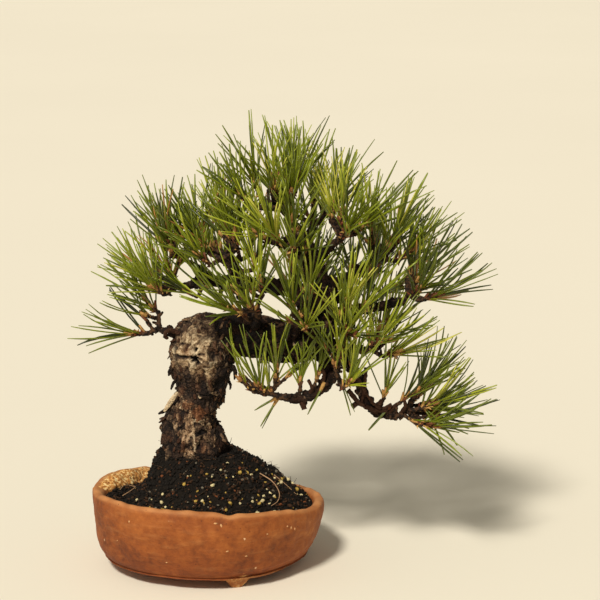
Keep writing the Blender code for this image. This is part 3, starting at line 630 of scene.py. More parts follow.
def grow_mass(mass, ends, limb_rows, other_rows):
    """The stem, twigs, shoots and needles that the solid of one mass has, and the space that they take up."""
    name, bough, heart, *_ = mass
    rng = random.Random(name)
    heart = Vector(heart) * MM
    tip, tip_way, tip_radius = ends[bough]
    bend = tip + tip_way * tip_radius * 1.2
    others = np.vstack([limb_rows, *other_rows])
    rows = [[*(tip + tip_way * GAP * 4), *heart, tip_radius]]
    shoots = []
    for home, direction in shoots_of(mass, rng):
        fork = heart.lerp(bend, rng.uniform(0.0, FORK_SPAN))
        for attempt in range(SHOOT_TRIES):
            nudge = Vector([rng.uniform(-1, 1) for _ in range(3)])
            foot = home + nudge * SHOOT_NUDGE * attempt
            shoot_end = foot + direction * SHOOT_LENGTH
            twig_gap = least_gap(fork.lerp(foot, 0.4), foot, TWIG_RADIUS, others)
            if min(twig_gap, least_gap(foot, shoot_end, SHOOT_RADIUS, others)) > GAP:
                break
        else:
            continue
        rows.append([*fork, *foot, TWIG_RADIUS])
        rows.append([*foot, *shoot_end, SHOOT_RADIUS])
        phase = rng.uniform(0, math.tau)
        needles = []
        for index in range(NEEDLES_PER_SHOOT):
            along = (index + 0.5) / NEEDLES_PER_SHOOT
            for attempt in range(NEEDLE_TRIES):
                spread = TRY_SPREAD * attempt
                root, point = needle_of(foot, direction, along, phase + index * GOLDEN_ANGLE, rng, spread)
                low = point.z < LOWEST_NEEDLE and point.x < OVER_POT
                if not low and least_gap(root, point, NEEDLE_RADIUS, others) > GAP:
                    break
            else:
                continue
            needles.append((root, point))
            rows.append([*root, *point, NEEDLE_RADIUS])
        shoots.append((fork, foot, direction, phase, needles))
    return {"name": name, "tip": tip, "bend": bend, "heart": heart, "radius": tip_radius, "shoots": shoots}, np.array(rows)


# Foliage


def in_clearing(point):
    """Whether a needle's tip is in front of the part of the trunk that shows."""
    if point.y > CLEARING_FRONT:
        return False
    x, z = point.x / MM, point.z / MM
    return any(left < x < right and low < z < high for left, right, low, high in CLEARINGS)


class Foliage:
    """Rows of the finer twigs, shoots, needle pairs and buds of all masses, gathered before the meshes are made."""

    def __init__(self, limb_rows):
        self.limb_rows = limb_rows
        self.rng = random.Random("fine growth")
        self.twigs = []  # start, end, radius at each
        self.shoots = []
        self.pairs = []  # root, tip, the shoot's direction and the shade
        self.buds = []  # foot, direction, length
        self.scales = []  # the same, for the dry scales up each shoot

    def shade(self, freshness_and_painted_light):
        """Deal a shade to a spray: a higher number gives a lighter, yellower shade; it holds the spray's own
        freshness and painted light that makes the upper sprays lighter.
        """
        if self.rng.random() < DRY_SHARE:
            return len(SHADES) - 1
        place = freshness_and_painted_light + self.rng.gauss(0, 0.9)
        return int(min(max(round(place), 0), len(SHADES) - 2))

    def clear(self, root, point):
        low = point.z < LOWEST_NEEDLE and point.x < OVER_POT
        return not low and not in_clearing(point) and least_gap(root, point, 0, self.limb_rows) > 0

    def add_sprays(self, foot, direction, phase, count, shoot_length, longest, freshness_and_painted_light, reach):
        """Pairs of needles up one shoot, each where it clears the limbs and stays within the mass's reach."""
        heart, limit = reach
        for index in range(count):
            along = FINE_LOW + (1 - FINE_LOW) * (index + 0.5) / count
            for attempt in range(1, 6):
                root, point = needle_of(
                    foot, direction, along, phase + index * GOLDEN_ANGLE, self.rng,
                    TRY_SPREAD * 1.6 * attempt, shoot_length, longest,
                )  # fmt: skip
                if self.clear(root, point) and (point - heart).length < limit:
                    self.pairs.append((root, point, direction, self.shade(freshness_and_painted_light)))
                    break

    def add_shoot(self, mass, shoot):
        """One shoot of a solid, with needles between the solid's own, and finer shoots on its twig."""
        rng = self.rng
        fork, foot, direction, phase, needles = shoot
        limit = max(((tip - mass["heart"]).length for _, tip in needles), default=NEEDLE_LENGTH)
        reach = (mass["heart"], limit)
        # A random freshness, plus painted light: sprays higher up get lighter, yellower shades.
        freshness_and_painted_light = rng.uniform(1.7, 3.8) + (foot.z - 0.13) * 6
        self.twigs.append((fork, foot, TWIG_RADIUS * 1.1, TWIG_RADIUS * 0.9))
        self.shoots.append((foot, foot + direction * SHOOT_LENGTH, SHOOT_RADIUS * 0.85, SHOOT_RADIUS * 0.7))
        self.buds.append((foot + direction * SHOOT_LENGTH * 0.92, direction, rng.uniform(4, 6.5) * MM))
        for index in range(SCALES_PER_SHOOT):
            start = foot + direction * SHOOT_LENGTH * rng.uniform(-0.1, 0.95)
            way = (direction + Vector([rng.gauss(0, 0.8) for _ in range(3)])).normalized()
            self.scales.append((start, way, rng.uniform(2.2, 4.2) * MM))
        for root, point in needles:
            if not in_clearing(point):
                self.pairs.append((root, point, direction, self.shade(freshness_and_painted_light)))
        spacing = GOLDEN_ANGLE * 0.5
        self.add_sprays(foot, direction, phase + spacing, PAIRS_PER_SHOOT, SHOOT_LENGTH, NEEDLE_LENGTH, freshness_and_painted_light, reach)
        across = direction.orthogonal().normalized()
        for _ in range(SPURS_PER_SHOOT):
            start = fork.lerp(foot, rng.uniform(0.1, 1.0))
            way = Vector([rng.gauss(0, 1) for _ in range(3)]).normalized() + direction * 0.4
            self.twigs.append((start, start + way * rng.uniform(2, 4.5) * MM, 0.9 * MM, 0.55 * MM))
        for index in range(SIDE_SHOOTS):
            start = fork.lerp(foot, rng.uniform(0.3, 0.8))
            angle = phase + index * math.pi + rng.uniform(-0.6, 0.6)
            side = across * math.cos(angle) + direction.cross(across) * math.sin(angle)
            way = (direction * 0.7 + side * rng.uniform(0.6, 1.0) + Vector((0, 0, 0.3))).normalized()
            side_foot = start + way * rng.uniform(2.5, 5) * MM
            end = side_foot + way * SIDE_LENGTH
            if least_gap(start, end, SIDE_RADIUS, self.limb_rows) < GAP:
                continue
            self.twigs.append((start, side_foot, SIDE_RADIUS, SIDE_RADIUS * 0.9))
            self.shoots.append((side_foot, end, SIDE_RADIUS, SIDE_RADIUS * 0.85))
            self.buds.append((end - way * 0.5 * MM, way, rng.uniform(3, 4.5) * MM))
            self.add_sprays(side_foot, way, angle, SIDE_PAIRS, SIDE_LENGTH, SIDE_NEEDLE, freshness_and_painted_light - 0.6, reach)


def add_extra_shoots(foliage, hearts):
    """Finer shoots that leave the low boughs themselves."""
    for name, start, foot, direction, pairs in EXTRA_SHOOTS:
        start, foot, direction = Vector(start) * MM, Vector(foot) * MM, Vector(direction).normalized()
        end = foot + direction * SIDE_LENGTH
        foliage.twigs.append((start, foot, SIDE_RADIUS * 1.2, SIDE_RADIUS))
        foliage.shoots.append((foot, end, SIDE_RADIUS, SIDE_RADIUS * 0.85))
        foliage.buds.append((end, direction, foliage.rng.uniform(3.5, 5) * MM))
        reach = (hearts[name], 2 * NEEDLE_LENGTH)
        foliage.add_sprays(foot, direction, foliage.rng.uniform(0, 6), pairs, SIDE_LENGTH, SIDE_NEEDLE, 2.4, reach)


def add_loose_needles(foliage):
    for root, point in LOOSE_NEEDLES:
        root, point = Vector(root) * MM, Vector(point) * MM
        foliage.pairs.append((root, point, Vector((0.3, -0.2, 0.9)).normalized(), 2))


def add_needles(pairs, names):
    """Two bent needles for each pair, joined into one mesh for each shade, and the sheaths at their feet."""
    rng = np.random.default_rng(11)
    roots, tips, ahead = (np.array([[*row[part]] for row in pairs]) for part in range(3))
    shades = np.array([row[3] for row in pairs])
    way = tips - roots
    length = np.linalg.norm(way, axis=1, keepdims=True)
    way = way / length
    aside = unit(np.cross(way, rng.normal(size=way.shape)))
    lean = unit(ahead - way * (ahead * way).sum(1, keepdims=True))
    profile = np.array([0.8, 1.0, 1.0, 1.0, 0.92, 0.5])
    halves = []
    openness = rng.random((len(way), 1)) ** 1.3
    sway = rng.normal(0, NEEDLE_SWAY, way.shape)
    evenness = 1.06 - 0.26 * rng.random((len(way), 1)) ** 2.2
    for turn in (1, -1):
        opening = (PAIR_OPENING[0] + PAIR_OPENING[1] * openness) * turn
        reach = length * evenness * rng.uniform(0.95, 1.0, (len(way), 1))
        ends = roots + (way * np.cos(opening) + aside * np.sin(opening)) * reach
        ends += sway * length
        bows = (lean * rng.uniform(-0.02, 0.13, (len(way), 1)) + aside * turn * 0.015) * length
        bows += rng.normal(0, 0.015, way.shape) * length
        halves.append(bowed(roots, ends, bows, len(profile)))
    radii = FINE_RADIUS * rng.uniform(0.88, 1.12, (len(way), 1)) * profile
    for index, (shade, base) in enumerate(SHADES):
        chosen = shades == index
        paths = np.concatenate([half[chosen] for half in halves])
        sizes = np.concatenate([radii[chosen]] * 2)
        points, faces = tubes(paths, sizes, 4, NEEDLE_FLATNESS, rng.uniform(0, math.tau, len(paths)))
        look = plain_look("needle_" + shade, colour(*base), 0.36, 0.16, 5 * MM, 0.6)
        add_mesh("needles_" + shade, points, faces, look, names)
    sheath_ends = roots + way * SHEATH_LENGTH * rng.uniform(0.7, 1.2, (len(way), 1))
    paths = bowed(roots - way * 0.5 * MM, sheath_ends, lean * 0.2 * MM, 4)
    sizes = np.array([0.95, 0.95, 0.8, 0.6]) * MM * rng.uniform(0.85, 1.1, (len(way), 1))
    tan = rng.random(len(way)) < 0.55
    for key, chosen, base in (("tan", tan, (188, 144, 82)), ("brown", ~tan, (112, 66, 40))):
        points, faces = tubes(paths[chosen], sizes[chosen], 5)
        look = plain_look("sheath_" + key, colour(*base), 0.7, 0.25, 1.5 * MM, 0.3)
        add_mesh("sheaths_" + key, points, faces, look, names)


def rough_tubes(paths, radii, sides, depth, size):
    """Tubes whose points are moved out and in by a noise, for scaly twigs."""
    points, faces = tubes(paths, radii, sides)
    centres = np.repeat(paths.reshape(-1, 3), sides, axis=0)
    away = unit(points - centres)
    moves = np.array([noise.noise(Vector(point) / size) for point in points])
    return points + away * moves[:, None] * depth, faces


def add_twigs(foliage, masses, names):
    """Stems, twigs, shoots and buds of every mass, each kind joined into one mesh."""
    rng = np.random.default_rng(7)
    look = twig_look()
    rows = foliage.twigs
    for mass in masses:
        rows = rows + [(mass["tip"] - (mass["bend"] - mass["tip"]), mass["bend"], mass["radius"], mass["radius"] * 0.95)]
        rows = rows + [(mass["bend"], mass["heart"], mass["radius"] * 0.98, TWIG_RADIUS)]
    for name, chosen, bow, sides in (("twigs", rows, 0.7 * MM, 8), ("shoots", foliage.shoots, 0.3 * MM, 8)):
        starts, ends = (np.array([[*row[part]] for row in chosen]) for part in range(2))
        sizes = np.array([np.linspace(row[2], row[3], 11) for row in chosen])
        sizes *= 1 + rng.uniform(-0.14, 0.18, sizes.shape)
        paths = bowed(starts, ends, rng.normal(0, 0.5, starts.shape) * bow, 11)
        points, faces = rough_tubes(paths, sizes, sides, 0.45 * MM, 1.3 * MM)
        add_mesh(name, points, faces, look, names)
    for name, rows, thickness, base in (
        ("buds", foliage.buds, 1.0, (170, 122, 68)), ("gold_scales", foliage.scales[::2], 0.5, (196, 154, 84)),
        ("red_scales", foliage.scales[1::2], 0.5, (124, 66, 40)),
    ):  # fmt: skip
        starts = np.array([[*foot] for foot, _, _ in rows])
        ends = np.array([[*(foot + way * length)] for foot, way, length in rows])
        profile = np.array([0.8, 1.15, 1.2, 0.95, 0.55, 0.1]) * thickness * MM
        sizes = profile * rng.uniform(0.75, 1.05, (len(starts), 1))
        points, faces = tubes(bowed(starts, ends, starts * 0, len(profile)), sizes, 7)
        add_mesh(name, points, faces, plain_look(name, colour(*base), 0.6, 0.35, 1.2 * MM, 0.4), names)


# Bark


def cell_number(point):
    """A number from 0 to 1 that belongs to one cell of a Voronoi pattern."""
    return abs(math.sin(point.x * 12.99 + point.y * 78.23 + point.z * 37.72) * 43758.5) % 1.0


def plate_layer(place, way, cell, seed):
    """Height, edge and number of the bark plate at a place. Each plate is tilted, so one edge stands off."""
    squeezed = place - way * place.dot(way) * 0.5
    squeezed += noise.noise_vector(place / (cell * 0.8)) * cell * 0.32
    spot = squeezed / cell + Vector((seed, 0, 0))
    distances, centres = noise.voronoi(spot)
    number = cell_number(centres[0])
    turn = number * 40
    tilt = (spot - centres[0]).dot(Vector((math.sin(turn), math.cos(turn * 1.3), math.sin(turn * 2.1))))
    edge = min((distances[1] - distances[0]) / 0.2, 1.0)
    return (number - 0.5) * 0.9 + tilt * 1.1, edge, number


def wrinkles(spot):
    """Sharp folds: 1 on the crests and below 0 in the creases."""
    return 1 - 3.2 * abs(noise.noise(spot))


def flaky_bark(place, way, cell):
    """Height, tone and painted shade in the crevices of layered, flaky bark at a place in millimetres on a limb that
    runs along way.
    """
    high, edge, number = plate_layer(place, way, cell, 0)
    low, small_edge, small_number = plate_layer(place, way, cell * 0.42, 31)
    fine = noise.noise(place / 0.8)
    height = 0.62 * (high + math.sqrt(edge) * 1.1 - 0.9) + 0.3 * (low + small_edge - 0.8) + 0.16 * fine
    tone = 0.2 + 0.24 * (number - 0.5) + 0.2 * (small_number - 0.5) + 0.16 * high + 0.14 * fine
    pale = max(number + 0.3 * small_number - 0.98, 0) * 1.5
    # Painted shade in the gaps between the plates.
    painted_shade = max(1 - edge * 1.25, (1 - small_edge) * 0.5, 0)
    return height, tone + pale, painted_shade


SCAR = Vector((-6.0, -15.0, 111.0))  # middle of the old wound on the knuckle, in millimetres
SCAR_REACH = 10.5
SCAR_HOLES = [(0.6, 3.2, 0.9), (0.1, -1.8, 1.6), (1.3, -3.6, 0.9), (-1.5, -1.2, 0.8), (1.9, 0.6, 0.6), (10.2, 4.6, 0.7)]  # across, up and size
FOLD_WAY = Vector((0.78, 0.0, 0.62))
PATCHES = [
    (-4.8, 80.1, 3.4, 3.8, 0.36, 0.5), (-9.5, 75.5, 2.4, 5.4, 0.64, 0.2), (-11.2, 68.8, 2.2, 3.4, 0.7, 0.25),
    (-10.2, 61.2, 2.8, 2.4, 0.62, 0.2), (-16.4, 73.0, 1.5, 2.8, 0.6, 0.1), (-6.8, 66.5, 0.9, 4.6, 0.8, 0.0),
    (-10.5, 84.2, 2.6, 2.4, 0.42, 0.4), (-15.0, 78.0, 1.2, 2.2, 0.5, 0.2), (-12.5, 63.5, 1.0, 2.4, 0.5, 0.4),
    (0.5, 71.0, 0.9, 2.6, 0.5, 0.2), (-2.2, 62.5, 1.2, 1.6, 0.4, 0.3), (-5.5, 57.5, 1.0, 2.0, 0.5, 0.2),
    (3.0, 66.0, 0.6, 2.6, 0.55, 0.1), (-7.6, 72.0, 0.8, 4.0, 0.75, 0.1), (-14.0, 70.0, 0.7, 2.2, 0.62, 0.1),
]  # x, z, half-width, half-height, tone and rust of the bare places on the trunk's front, in millimetres


def scar_folds(place):
    """Height in millimetres, how pale the wound's wood is with painted highlight on the fold crests, painted shade in
    its holes, split and creases, and redness of the folds round the old wound.
    """
    across, up = place.x - SCAR.x, place.z - SCAR.z
    distance = math.hypot(across, up)
    if place.y > -3 or distance > SCAR_REACH * 2.4:
        return 0.0, 0.0, 0.0, 0.0
    share = float(bell(distance, SCAR_REACH * 0.75))
    angle = math.atan2(up, across)
    radial = wrinkles(Vector((math.cos(angle) * 2.1, math.sin(angle) * 2.1, distance * 0.16)))
    along = place - FOLD_WAY * place.dot(FOLD_WAY) * 0.8
    slanting = wrinkles(along / 2.3)
    upper = float(smooth_step(-1, 5, up - across * 0.2))
    wrinkle = max(radial * (1 - upper) + slanting * upper, -1.2)
    folds = wrinkle * 0.85 * share
    rough = 0.3 * noise.noise(place / 1.1)
    hollow = 0.0
    for x, z, size in SCAR_HOLES:
        ragged = math.hypot(across - x, up - z) + 0.8 * noise.noise(place / 0.9)
        hollow = max(hollow, float(smooth_step(size * 1.35, size * 0.6, ragged)))
    split = float(bell(up + 0.6 - 0.06 * across + 0.6 * noise.noise(place / 2), 0.5)) if -9.5 < across < 0 else 0.0
    cheek = float(bell(math.hypot(across + 4, up - 1.2), 2.2))
    height = folds + (0.5 + rough) * share - 2.8 * hollow - 0.7 * split
    # The wound's pale wood, plus painted highlight on the crests of the folds.
    pale_and_crest_light = share * (0.72 + 0.4 * wrinkle + 0.45 * noise.noise(place / 2.2))
    # Painted shade in the creases of the folds, and below in the holes and the split.
    painted_crease_shade = 0.75 * share * min(max(-wrinkle - 0.05, 0), 1)
    dark = min(hollow * 1.2 + split * 0.8 + painted_crease_shade, 1.0)
    return height, pale_and_crest_light, dark, cheek * 0.3


def limb_frame(path):
    """Places and unit directions along a path of (x, y, z, radius) rows."""
    rows = np.array(path)
    return rows, unit(np.gradient(rows[:, :3], axis=0))


def trunk_mesh():
    """The stump and the leader as one closed mesh, from overlapping tubes remeshed together."""
    pieces = []
    for rows, sides in ((STUMP, 64), (LEADER, 48)):
        path = np.array(smooth_path(rows, 1.5))
        if rows is STUMP:
            path = np.vstack([[*path[0, :2], path[0, 2] - 2, path[0, 3]], path])
        points, faces = tubes(path[None, :, :3] * MM, path[None, :, 3] * MM, sides)
        if rows is STUMP:
            flare = (1 - smooth_step(0, FLARE_HEIGHT, points[:, 2] - SOIL_TOP - GAP)) ** 2
            angle = np.arctan2(points[:, 1], points[:, 0] - TRUNK_FOOT_X)
            lobes = 1 + flare * (FLARE_WIDTH + LOBE_DEPTH * np.sin(FLARE_LOBES * angle + FLARE_PHASE))
            points[:, 0] = TRUNK_FOOT_X + (points[:, 0] - TRUNK_FOOT_X) * lobes
            points[:, 1] *= lobes
        pieces.append((points, faces))
    mesh = bpy.data.meshes.new("trunk_core")
    offset = 0
    points, faces = [], []
    for piece_points, face_sets in pieces:
        points += piece_points.tolist()
        faces += [[index + offset for index in face] for face_set in face_sets for face in face_set.tolist()]
        offset += len(piece_points)
    mesh.from_pydata(points, [], faces)
    core = bpy.data.objects.new("trunk_core", mesh)
    bpy.context.scene.collection.objects.link(core)
    remesh = core.modifiers.new("join", "REMESH")
    remesh.mode = "VOXEL"
    remesh.voxel_size = TRUNK_VOXEL
    joined = bpy.data.meshes.new_from_object(core.evaluated_get(bpy.context.evaluated_depsgraph_get()))
    bpy.data.objects.remove(core, do_unlink=True)
    return joined


TRUNK_VOXEL = 0.42 * MM


def add_trunk():
    """Trunk with plated bark, a wound on the knuckle, and bare patches low on its front."""
    mesh = trunk_mesh()
    stump, stump_ways = limb_frame(smooth_path(STUMP, 2))
    leader, leader_ways = limb_frame(smooth_path(LEADER, 2))
    rows = np.vstack([stump, leader])
    ways = np.vstack([stump_ways, leader_ways])
    tone, rust, painted_shade = [], [], []
    places = [vertex.co / MM for vertex in mesh.vertices]
    tree = KDTree(len(rows))
    for index, row in enumerate(rows):
        tree.insert(row[:3], index)
    tree.balance()
    moved = []
    for vertex, place in zip(mesh.vertices, places):
        index = min((distance / rows[near, 3], near) for _, near, distance in tree.find_n(place, 8))[1]
        radius = rows[index, 3]
        on_stump = index < len(stump)
        height, shade, deep = flaky_bark(place, Vector(ways[index]), 2.0 + 0.2 * radius)
        fold, pale, dark, red = scar_folds(place)
        height = height * (radius / 15) ** 0.6 * (1 - 0.8 * min(pale, 1)) + fold
        if on_stump:
            height += BARK_DEPTH / MM * noise.noise(place / BARK_SIZE)
        else:
            height += LEADER_BARK_DEPTH / MM * noise.noise(place / LEADER_BARK_SIZE)
        broad = noise.noise(place / 8)
        # Painted light: the front left of the stump, which faces the main light, is made lighter.
        front = float(smooth_step(-2, -9, place.y) * smooth_step(8, 0, place.x)) * on_stump
        # A darker band round the stump below the knuckle.
        band_and_painted_shade = float(bell(place.z - 93, 5.5)) * on_stump
        # Painted shade: the right of the stump and the start of the leader, away from the main light, are darker.
        shaded_side = float(smooth_step(1, 9, place.x))
        if not on_stump:
            shaded_side *= 0.7 * float(smooth_step(34, 18, place.x))
        band_and_painted_shade += 2.1 * shaded_side
        shade += 0.12 * broad + 0.16 * front - 0.14 * band_and_painted_shade + 0.57 * pale
        shade += 0.12 * float(smooth_step(100, 108, place.z)) * on_stump
        bare = red
        for x, z, wide, high, patch_tone, patch_rust in PATCHES:
            if place.y < -2 and abs(place.x - x) < wide * 2 and abs(place.z - z) < high * 2:
                edge = math.hypot((place.x - x) / wide, (place.z - z) / high)
                edge += 0.6 * noise.noise(place / 1.6) + 0.4 * noise.noise(place / 0.7)
                share = float(smooth_step(1.1, 0.9, edge))
                rough = 0.4 * noise.noise(Vector((place.x, place.y, place.z * 0.35)) / 0.9) + 0.2 * noise.noise(place / 0.6)
                shade += (patch_tone + 0.09 + rough * 1.3 - shade) * share
                deep *= 1 - 0.6 * share
                bare = max(bare, (patch_rust + rough) * share)
                height += (rough * 1.2 + 0.15 - height * 0.5) * share
        fissure = wrinkles(Vector((place.x, place.y, place.z * 0.28)) / 1.9) * float(smooth_step(98, 90, place.z)) * on_stump
        height += 0.28 * max(fissure, -1)
        # Painted shade: in the crevices, less on the wound's pale wood, on the side away from the main light, and in
        # the creases of the low fissures.
        deep = max(deep * (1 - 0.7 * min(pale, 1)), 0.58 * shaded_side, min(-0.55 * fissure, 0.7))
        tone.append(shade - 0.05)
        rust.append(max(bare, 0.3 * max(noise.noise(place / 5 + Vector((9, 4, 2))), 0)))
        painted_shade.append(min(max(deep, dark), 1.0))
        moved.append((place + vertex.normal * height) * MM)
    faces = [list(polygon.vertices) for polygon in mesh.polygons]
    bpy.data.meshes.remove(mesh)
    attributes = {"tone": tone, "rust": rust, "painted_shade": painted_shade}
    return add_mesh("trunk_bark", moved, [faces], bark, ["trunk"], attributes=attributes)


def add_boughs():
    """Boughs that run on from the trunk's wood, scaly, with a collar where each one leaves its parent."""
    for name, _, first, last, line in BOUGHS:
        path = np.array(bough_path(first, last, line, 0.75))
        steps = np.arange(len(path)) * 0.75
        knots = np.maximum(np.sin(steps * 0.75 + len(name)), 0) ** 4
        path[:, 3] *= 1 + 0.22 * np.exp(-steps / 5) + 0.2 * knots
        path[:, 3][-1] *= 0.96
        sides = 22
        points, faces = tubes(path[None, :, :3], path[None, :, 3], sides)
        rows, ways = limb_frame(path)
        tone, rust, painted_shade = [], [], []
        for index, point in enumerate(points):
            ring = index // sides
            place = Vector(point)
            radius = rows[ring, 3]
            height, shade, deep = flaky_bark(place, Vector(ways[ring]), 1.9)
            height = height * 0.75 * (radius / 3) ** 0.6 + 0.5 * noise.noise(place / 4)
            points[index] += unit(point - rows[ring, :3]) * height
            # The boughs' tone is lowered as painted shade for the crown that hangs over them.
            tone.append(shade - 0.28)
            rust.append(0.04 + 0.16 * noise.noise(place / 5))
            painted_shade.append(deep * 0.8)
        attributes = {"tone": tone, "rust": rust, "painted_shade": painted_shade}
        add_mesh(name + "_bark", points * MM, faces, bark, [name], attributes=attributes)


SPUR_SPACING = 2.4  # millimetres, between the stubs of old shoots on a bough
BUSY_BOUGHS = ("cascade_bough", "low_front_bough", "low_right_bough")
STUBS = [
    ("low_front_bough", 1.7, [(47, -14.5, 88.5), (47.6, -15.5, 85.5), (48.2, -16, 83.5)]),
    ("cascade_bough", 1.0, [(79, -8.5, 103), (78.4, -8.2, 94), (77, -7.5, 85)]),
    ("cascade_bough", 1.5, [(72, -5.5, 82), (76, -5.2, 84), (80, -5, 83)]),
    ("cascade_bough", 1.4, [(84, -6, 79), (85, -7, 83), (87, -8, 86)]),
    ("cascade_bough", 1.3, [(90, -5, 77.5), (92, -5.5, 81), (95, -6, 83.5)]),
    ("cascade_bough", 1.3, [(70, -6, 91), (76, -7.5, 84.5), (83, -7.5, 81), (90, -7, 80.5)]),
    ("cascade_bough", 1.0, [(74, -8, 99), (80, -9, 88.5), (86, -8, 82), (92, -8, 84)]),
    ("cascade_bough", 1.2, [(96, -4, 77), (99, -6, 82), (98, -7, 86)]),
    ("low_front_bough", 1.1, [(56, -13, 94), (58, -16, 101), (56, -17, 107)]),
    ("low_front_bough", 1.0, [(50, -14, 90), (52, -17, 95), (50, -18, 99)]),
    ("trunk", 1.3, [(50, -9, 120), (53, -13, 124), (52, -15, 129)]),
    ("trunk", 1.2, [(58, -7, 128), (62, -11, 134), (60, -13, 140)]),
    ("trunk", 1.2, [(-14, -6, 120), (-19, -7, 122), (-21.5, -7, 119.5), (-20, -6.5, 117.5)]),
]  # limb, radius and centre line of stubs and dead twigs, in millimetres


def add_spurs():
    """Short knobs where older shoots broke off, and a few longer stubs."""
    rng = np.random.default_rng(21)
    starts, ends, sizes = [], [], []
    for name, _, first, last, line in BOUGHS:
        path = np.array(bough_path(first, last, line, SPUR_SPACING / (2 if name in BUSY_BOUGHS else 1)))[2:]
        for x, y, z, radius in path:
            place = np.array([x, y, z])
            way = unit(rng.normal(size=3) + [0, 0, 0.3])
            starts.append(place + way * radius * 0.3)
            ends.append(place + way * (radius + rng.uniform(0.6, 2.6)))
            sizes.append(rng.uniform(0.8, 1.35) * min(radius / 2, 1.2))
    starts, ends, sizes = np.array(starts), np.array(ends), np.array(sizes)
    paths = bowed(starts, ends, rng.normal(0, 0.3, starts.shape), 6) * MM
    radii = sizes[:, None] * np.array([1.1, 1.0, 1.0, 1.1, 0.95, 0.45]) * MM
    points, faces = rough_tubes(paths, radii, 8, 0.5 * MM, 1.1 * MM)
    names = [row[0] for row in BOUGHS]
    # A low tone, as painted shade under the crown, like the boughs'.
    tone = np.clip(0.08 + 0.3 * noise_at(points, 1.5 * MM), 0, 1)
    attributes = {"tone": tone, "rust": tone * 0.4, "painted_shade": tone * 0}
    add_mesh("bough_spurs", points, faces, bark, names, attributes=attributes)
    for number, (name, radius, line) in enumerate(STUBS):
        path = np.array(bough_path(radius, radius * 0.75, line, 0.7)) * MM
        points, faces = rough_tubes(path[None, :, :3], path[None, :, 3], 12, 0.55 * MM, 1.4 * MM)
        tone = np.clip(0.1 + 0.4 * noise_at(points, 1.7 * MM), 0, 1)
        attributes = {"tone": tone, "rust": 0.12 + tone * 0, "painted_shade": tone * 0}
        add_mesh(f"stub_{number + 1}", points, faces, bark, [name], attributes=attributes)


def noise_at(points, size):
    return np.array([noise.noise(Vector(point) / size) for point in points])


LOOSE_FLAKES = [
    ([(-15.3, -7, 90), (-17.6, -7.4, 87), (-20.0, -7.4, 83.4), (-22.4, -7, 79.8)], 1.35, 0.3, 1.35),
    ([(-18.5, -5.5, 82.5), (-21.5, -5.6, 80.3), (-25.4, -5.4, 78.2)], 1.2, 0.35, 0.08),
    ([(-15.6, -8, 97), (-17.6, -8, 94.5), (-18.6, -8, 91.5)], 0.9, 0.35, 0.1),
    ([(-15.5, -6, 104), (-18.6, -6, 101.5), (-19.8, -6, 98.2)], 1.2, 0.35, 0.14),
    ([(12.5, -7, 104), (13.6, -7, 100), (13.2, -7, 96.5)], 1.1, 0.3, 0.06),
    ([(9.5, -6, 97), (11.2, -6, 93.5), (10.8, -6, 91)], 0.8, 0.4, 0.08),
]  # centre line and half-width in millimetres, flatness and tone


def add_loose_flakes():
    """Larger flakes that stand off the trunk's silhouette, one of them pale."""
    for number, (line, width, flatness, tone) in enumerate(LOOSE_FLAKES):
        path = np.array(bough_path(1, 1, line, 0.6)) * MM
        taper = np.sin(np.linspace(0.5, math.pi - 0.12, len(path))) ** 0.6
        points, faces = tubes(path[None, :, :3], (taper * width * MM)[None], 14, flatness, math.radians(75))
        points += unit(points - points.mean(0)) * (noise_at(points, 0.9 * MM) * 0.35 * MM)[:, None]
        tones = np.clip(tone + 0.25 * noise_at(points, 1.2 * MM), 0, 1)
        attributes = {"tone": tones, "rust": tones * 0, "painted_shade": tones * 0}
        add_mesh(f"loose_flake_{number + 1}", points, faces, bark, ["trunk"], attributes=attributes)


def add_flakes(trunk):
    """Thin flakes of bark that stand off the trunk."""
    rng = np.random.default_rng(5)
    mesh = trunk.data
    corners = 7
    points, faces, tone = [], [], []
    chosen = rng.choice(len(mesh.vertices), 420, replace=False)
    for index in chosen:
        vertex = mesh.vertices[int(index)]
        place = vertex.co - AXIS
        near_scar = (place / MM - SCAR).length < 9
        if near_scar or place.z < 60 * MM or (place.z > 131 * MM and rng.random() < 0.7):
            continue
        normal = vertex.normal.normalized()
        down = Vector((0, 0, -1))
        down = (down - normal * down.dot(normal))
        if down.length < 0.2:
            continue
        down.normalize()
        side = normal.cross(down)
        size = rng.uniform(0.8, 1.9) * MM
        lift = rng.uniform(0.05, 0.45)
        along = (down * math.cos(lift) + normal * math.sin(lift)).normalized()
        outer = side.cross(along).normalized()
        outer = outer if outer.dot(normal) > 0 else -outer
        middle = place + along * size * 0.7 - normal * 0.1 * MM
        ring = []
        for corner in range(corners):
            angle = corner * math.tau / corners + rng.uniform(-0.25, 0.25)
            reach = size * rng.uniform(0.75, 1.15)
            cup = -0.25 * size * math.sin(angle) ** 2
            ring.append(middle + along * math.cos(angle) * reach * 1.35 + side * math.sin(angle) * reach * 0.7 + outer * cup)
        thick = outer * rng.uniform(0.12, 0.28) * MM
        start = len(points)
        points += [*(spot + thick for spot in ring), *(spot - thick for spot in ring), middle + thick * 1.6, middle - thick]
        for corner in range(corners):
            after = (corner + 1) % corners
            top, low = start + 2 * corners, start + 2 * corners + 1
            faces.append((start + corner, start + after, top))
            faces.append((start + corners + after, start + corners + corner, low))
            faces.append((start + corners + corner, start + corners + after, start + after))
            faces.append((start + corners + corner, start + after, start + corner))
        tone += [rng.uniform(0.05, 0.6)] * (2 * corners + 2)
    points = np.array([[*point] for point in points])
    attributes = {"tone": tone, "rust": [0.15] * len(tone), "painted_shade": [0.1] * len(tone)}
    add_mesh("bark_flakes", points, [faces], bark, ["trunk"], smooth=False, attributes=attributes)


# Pot and soil


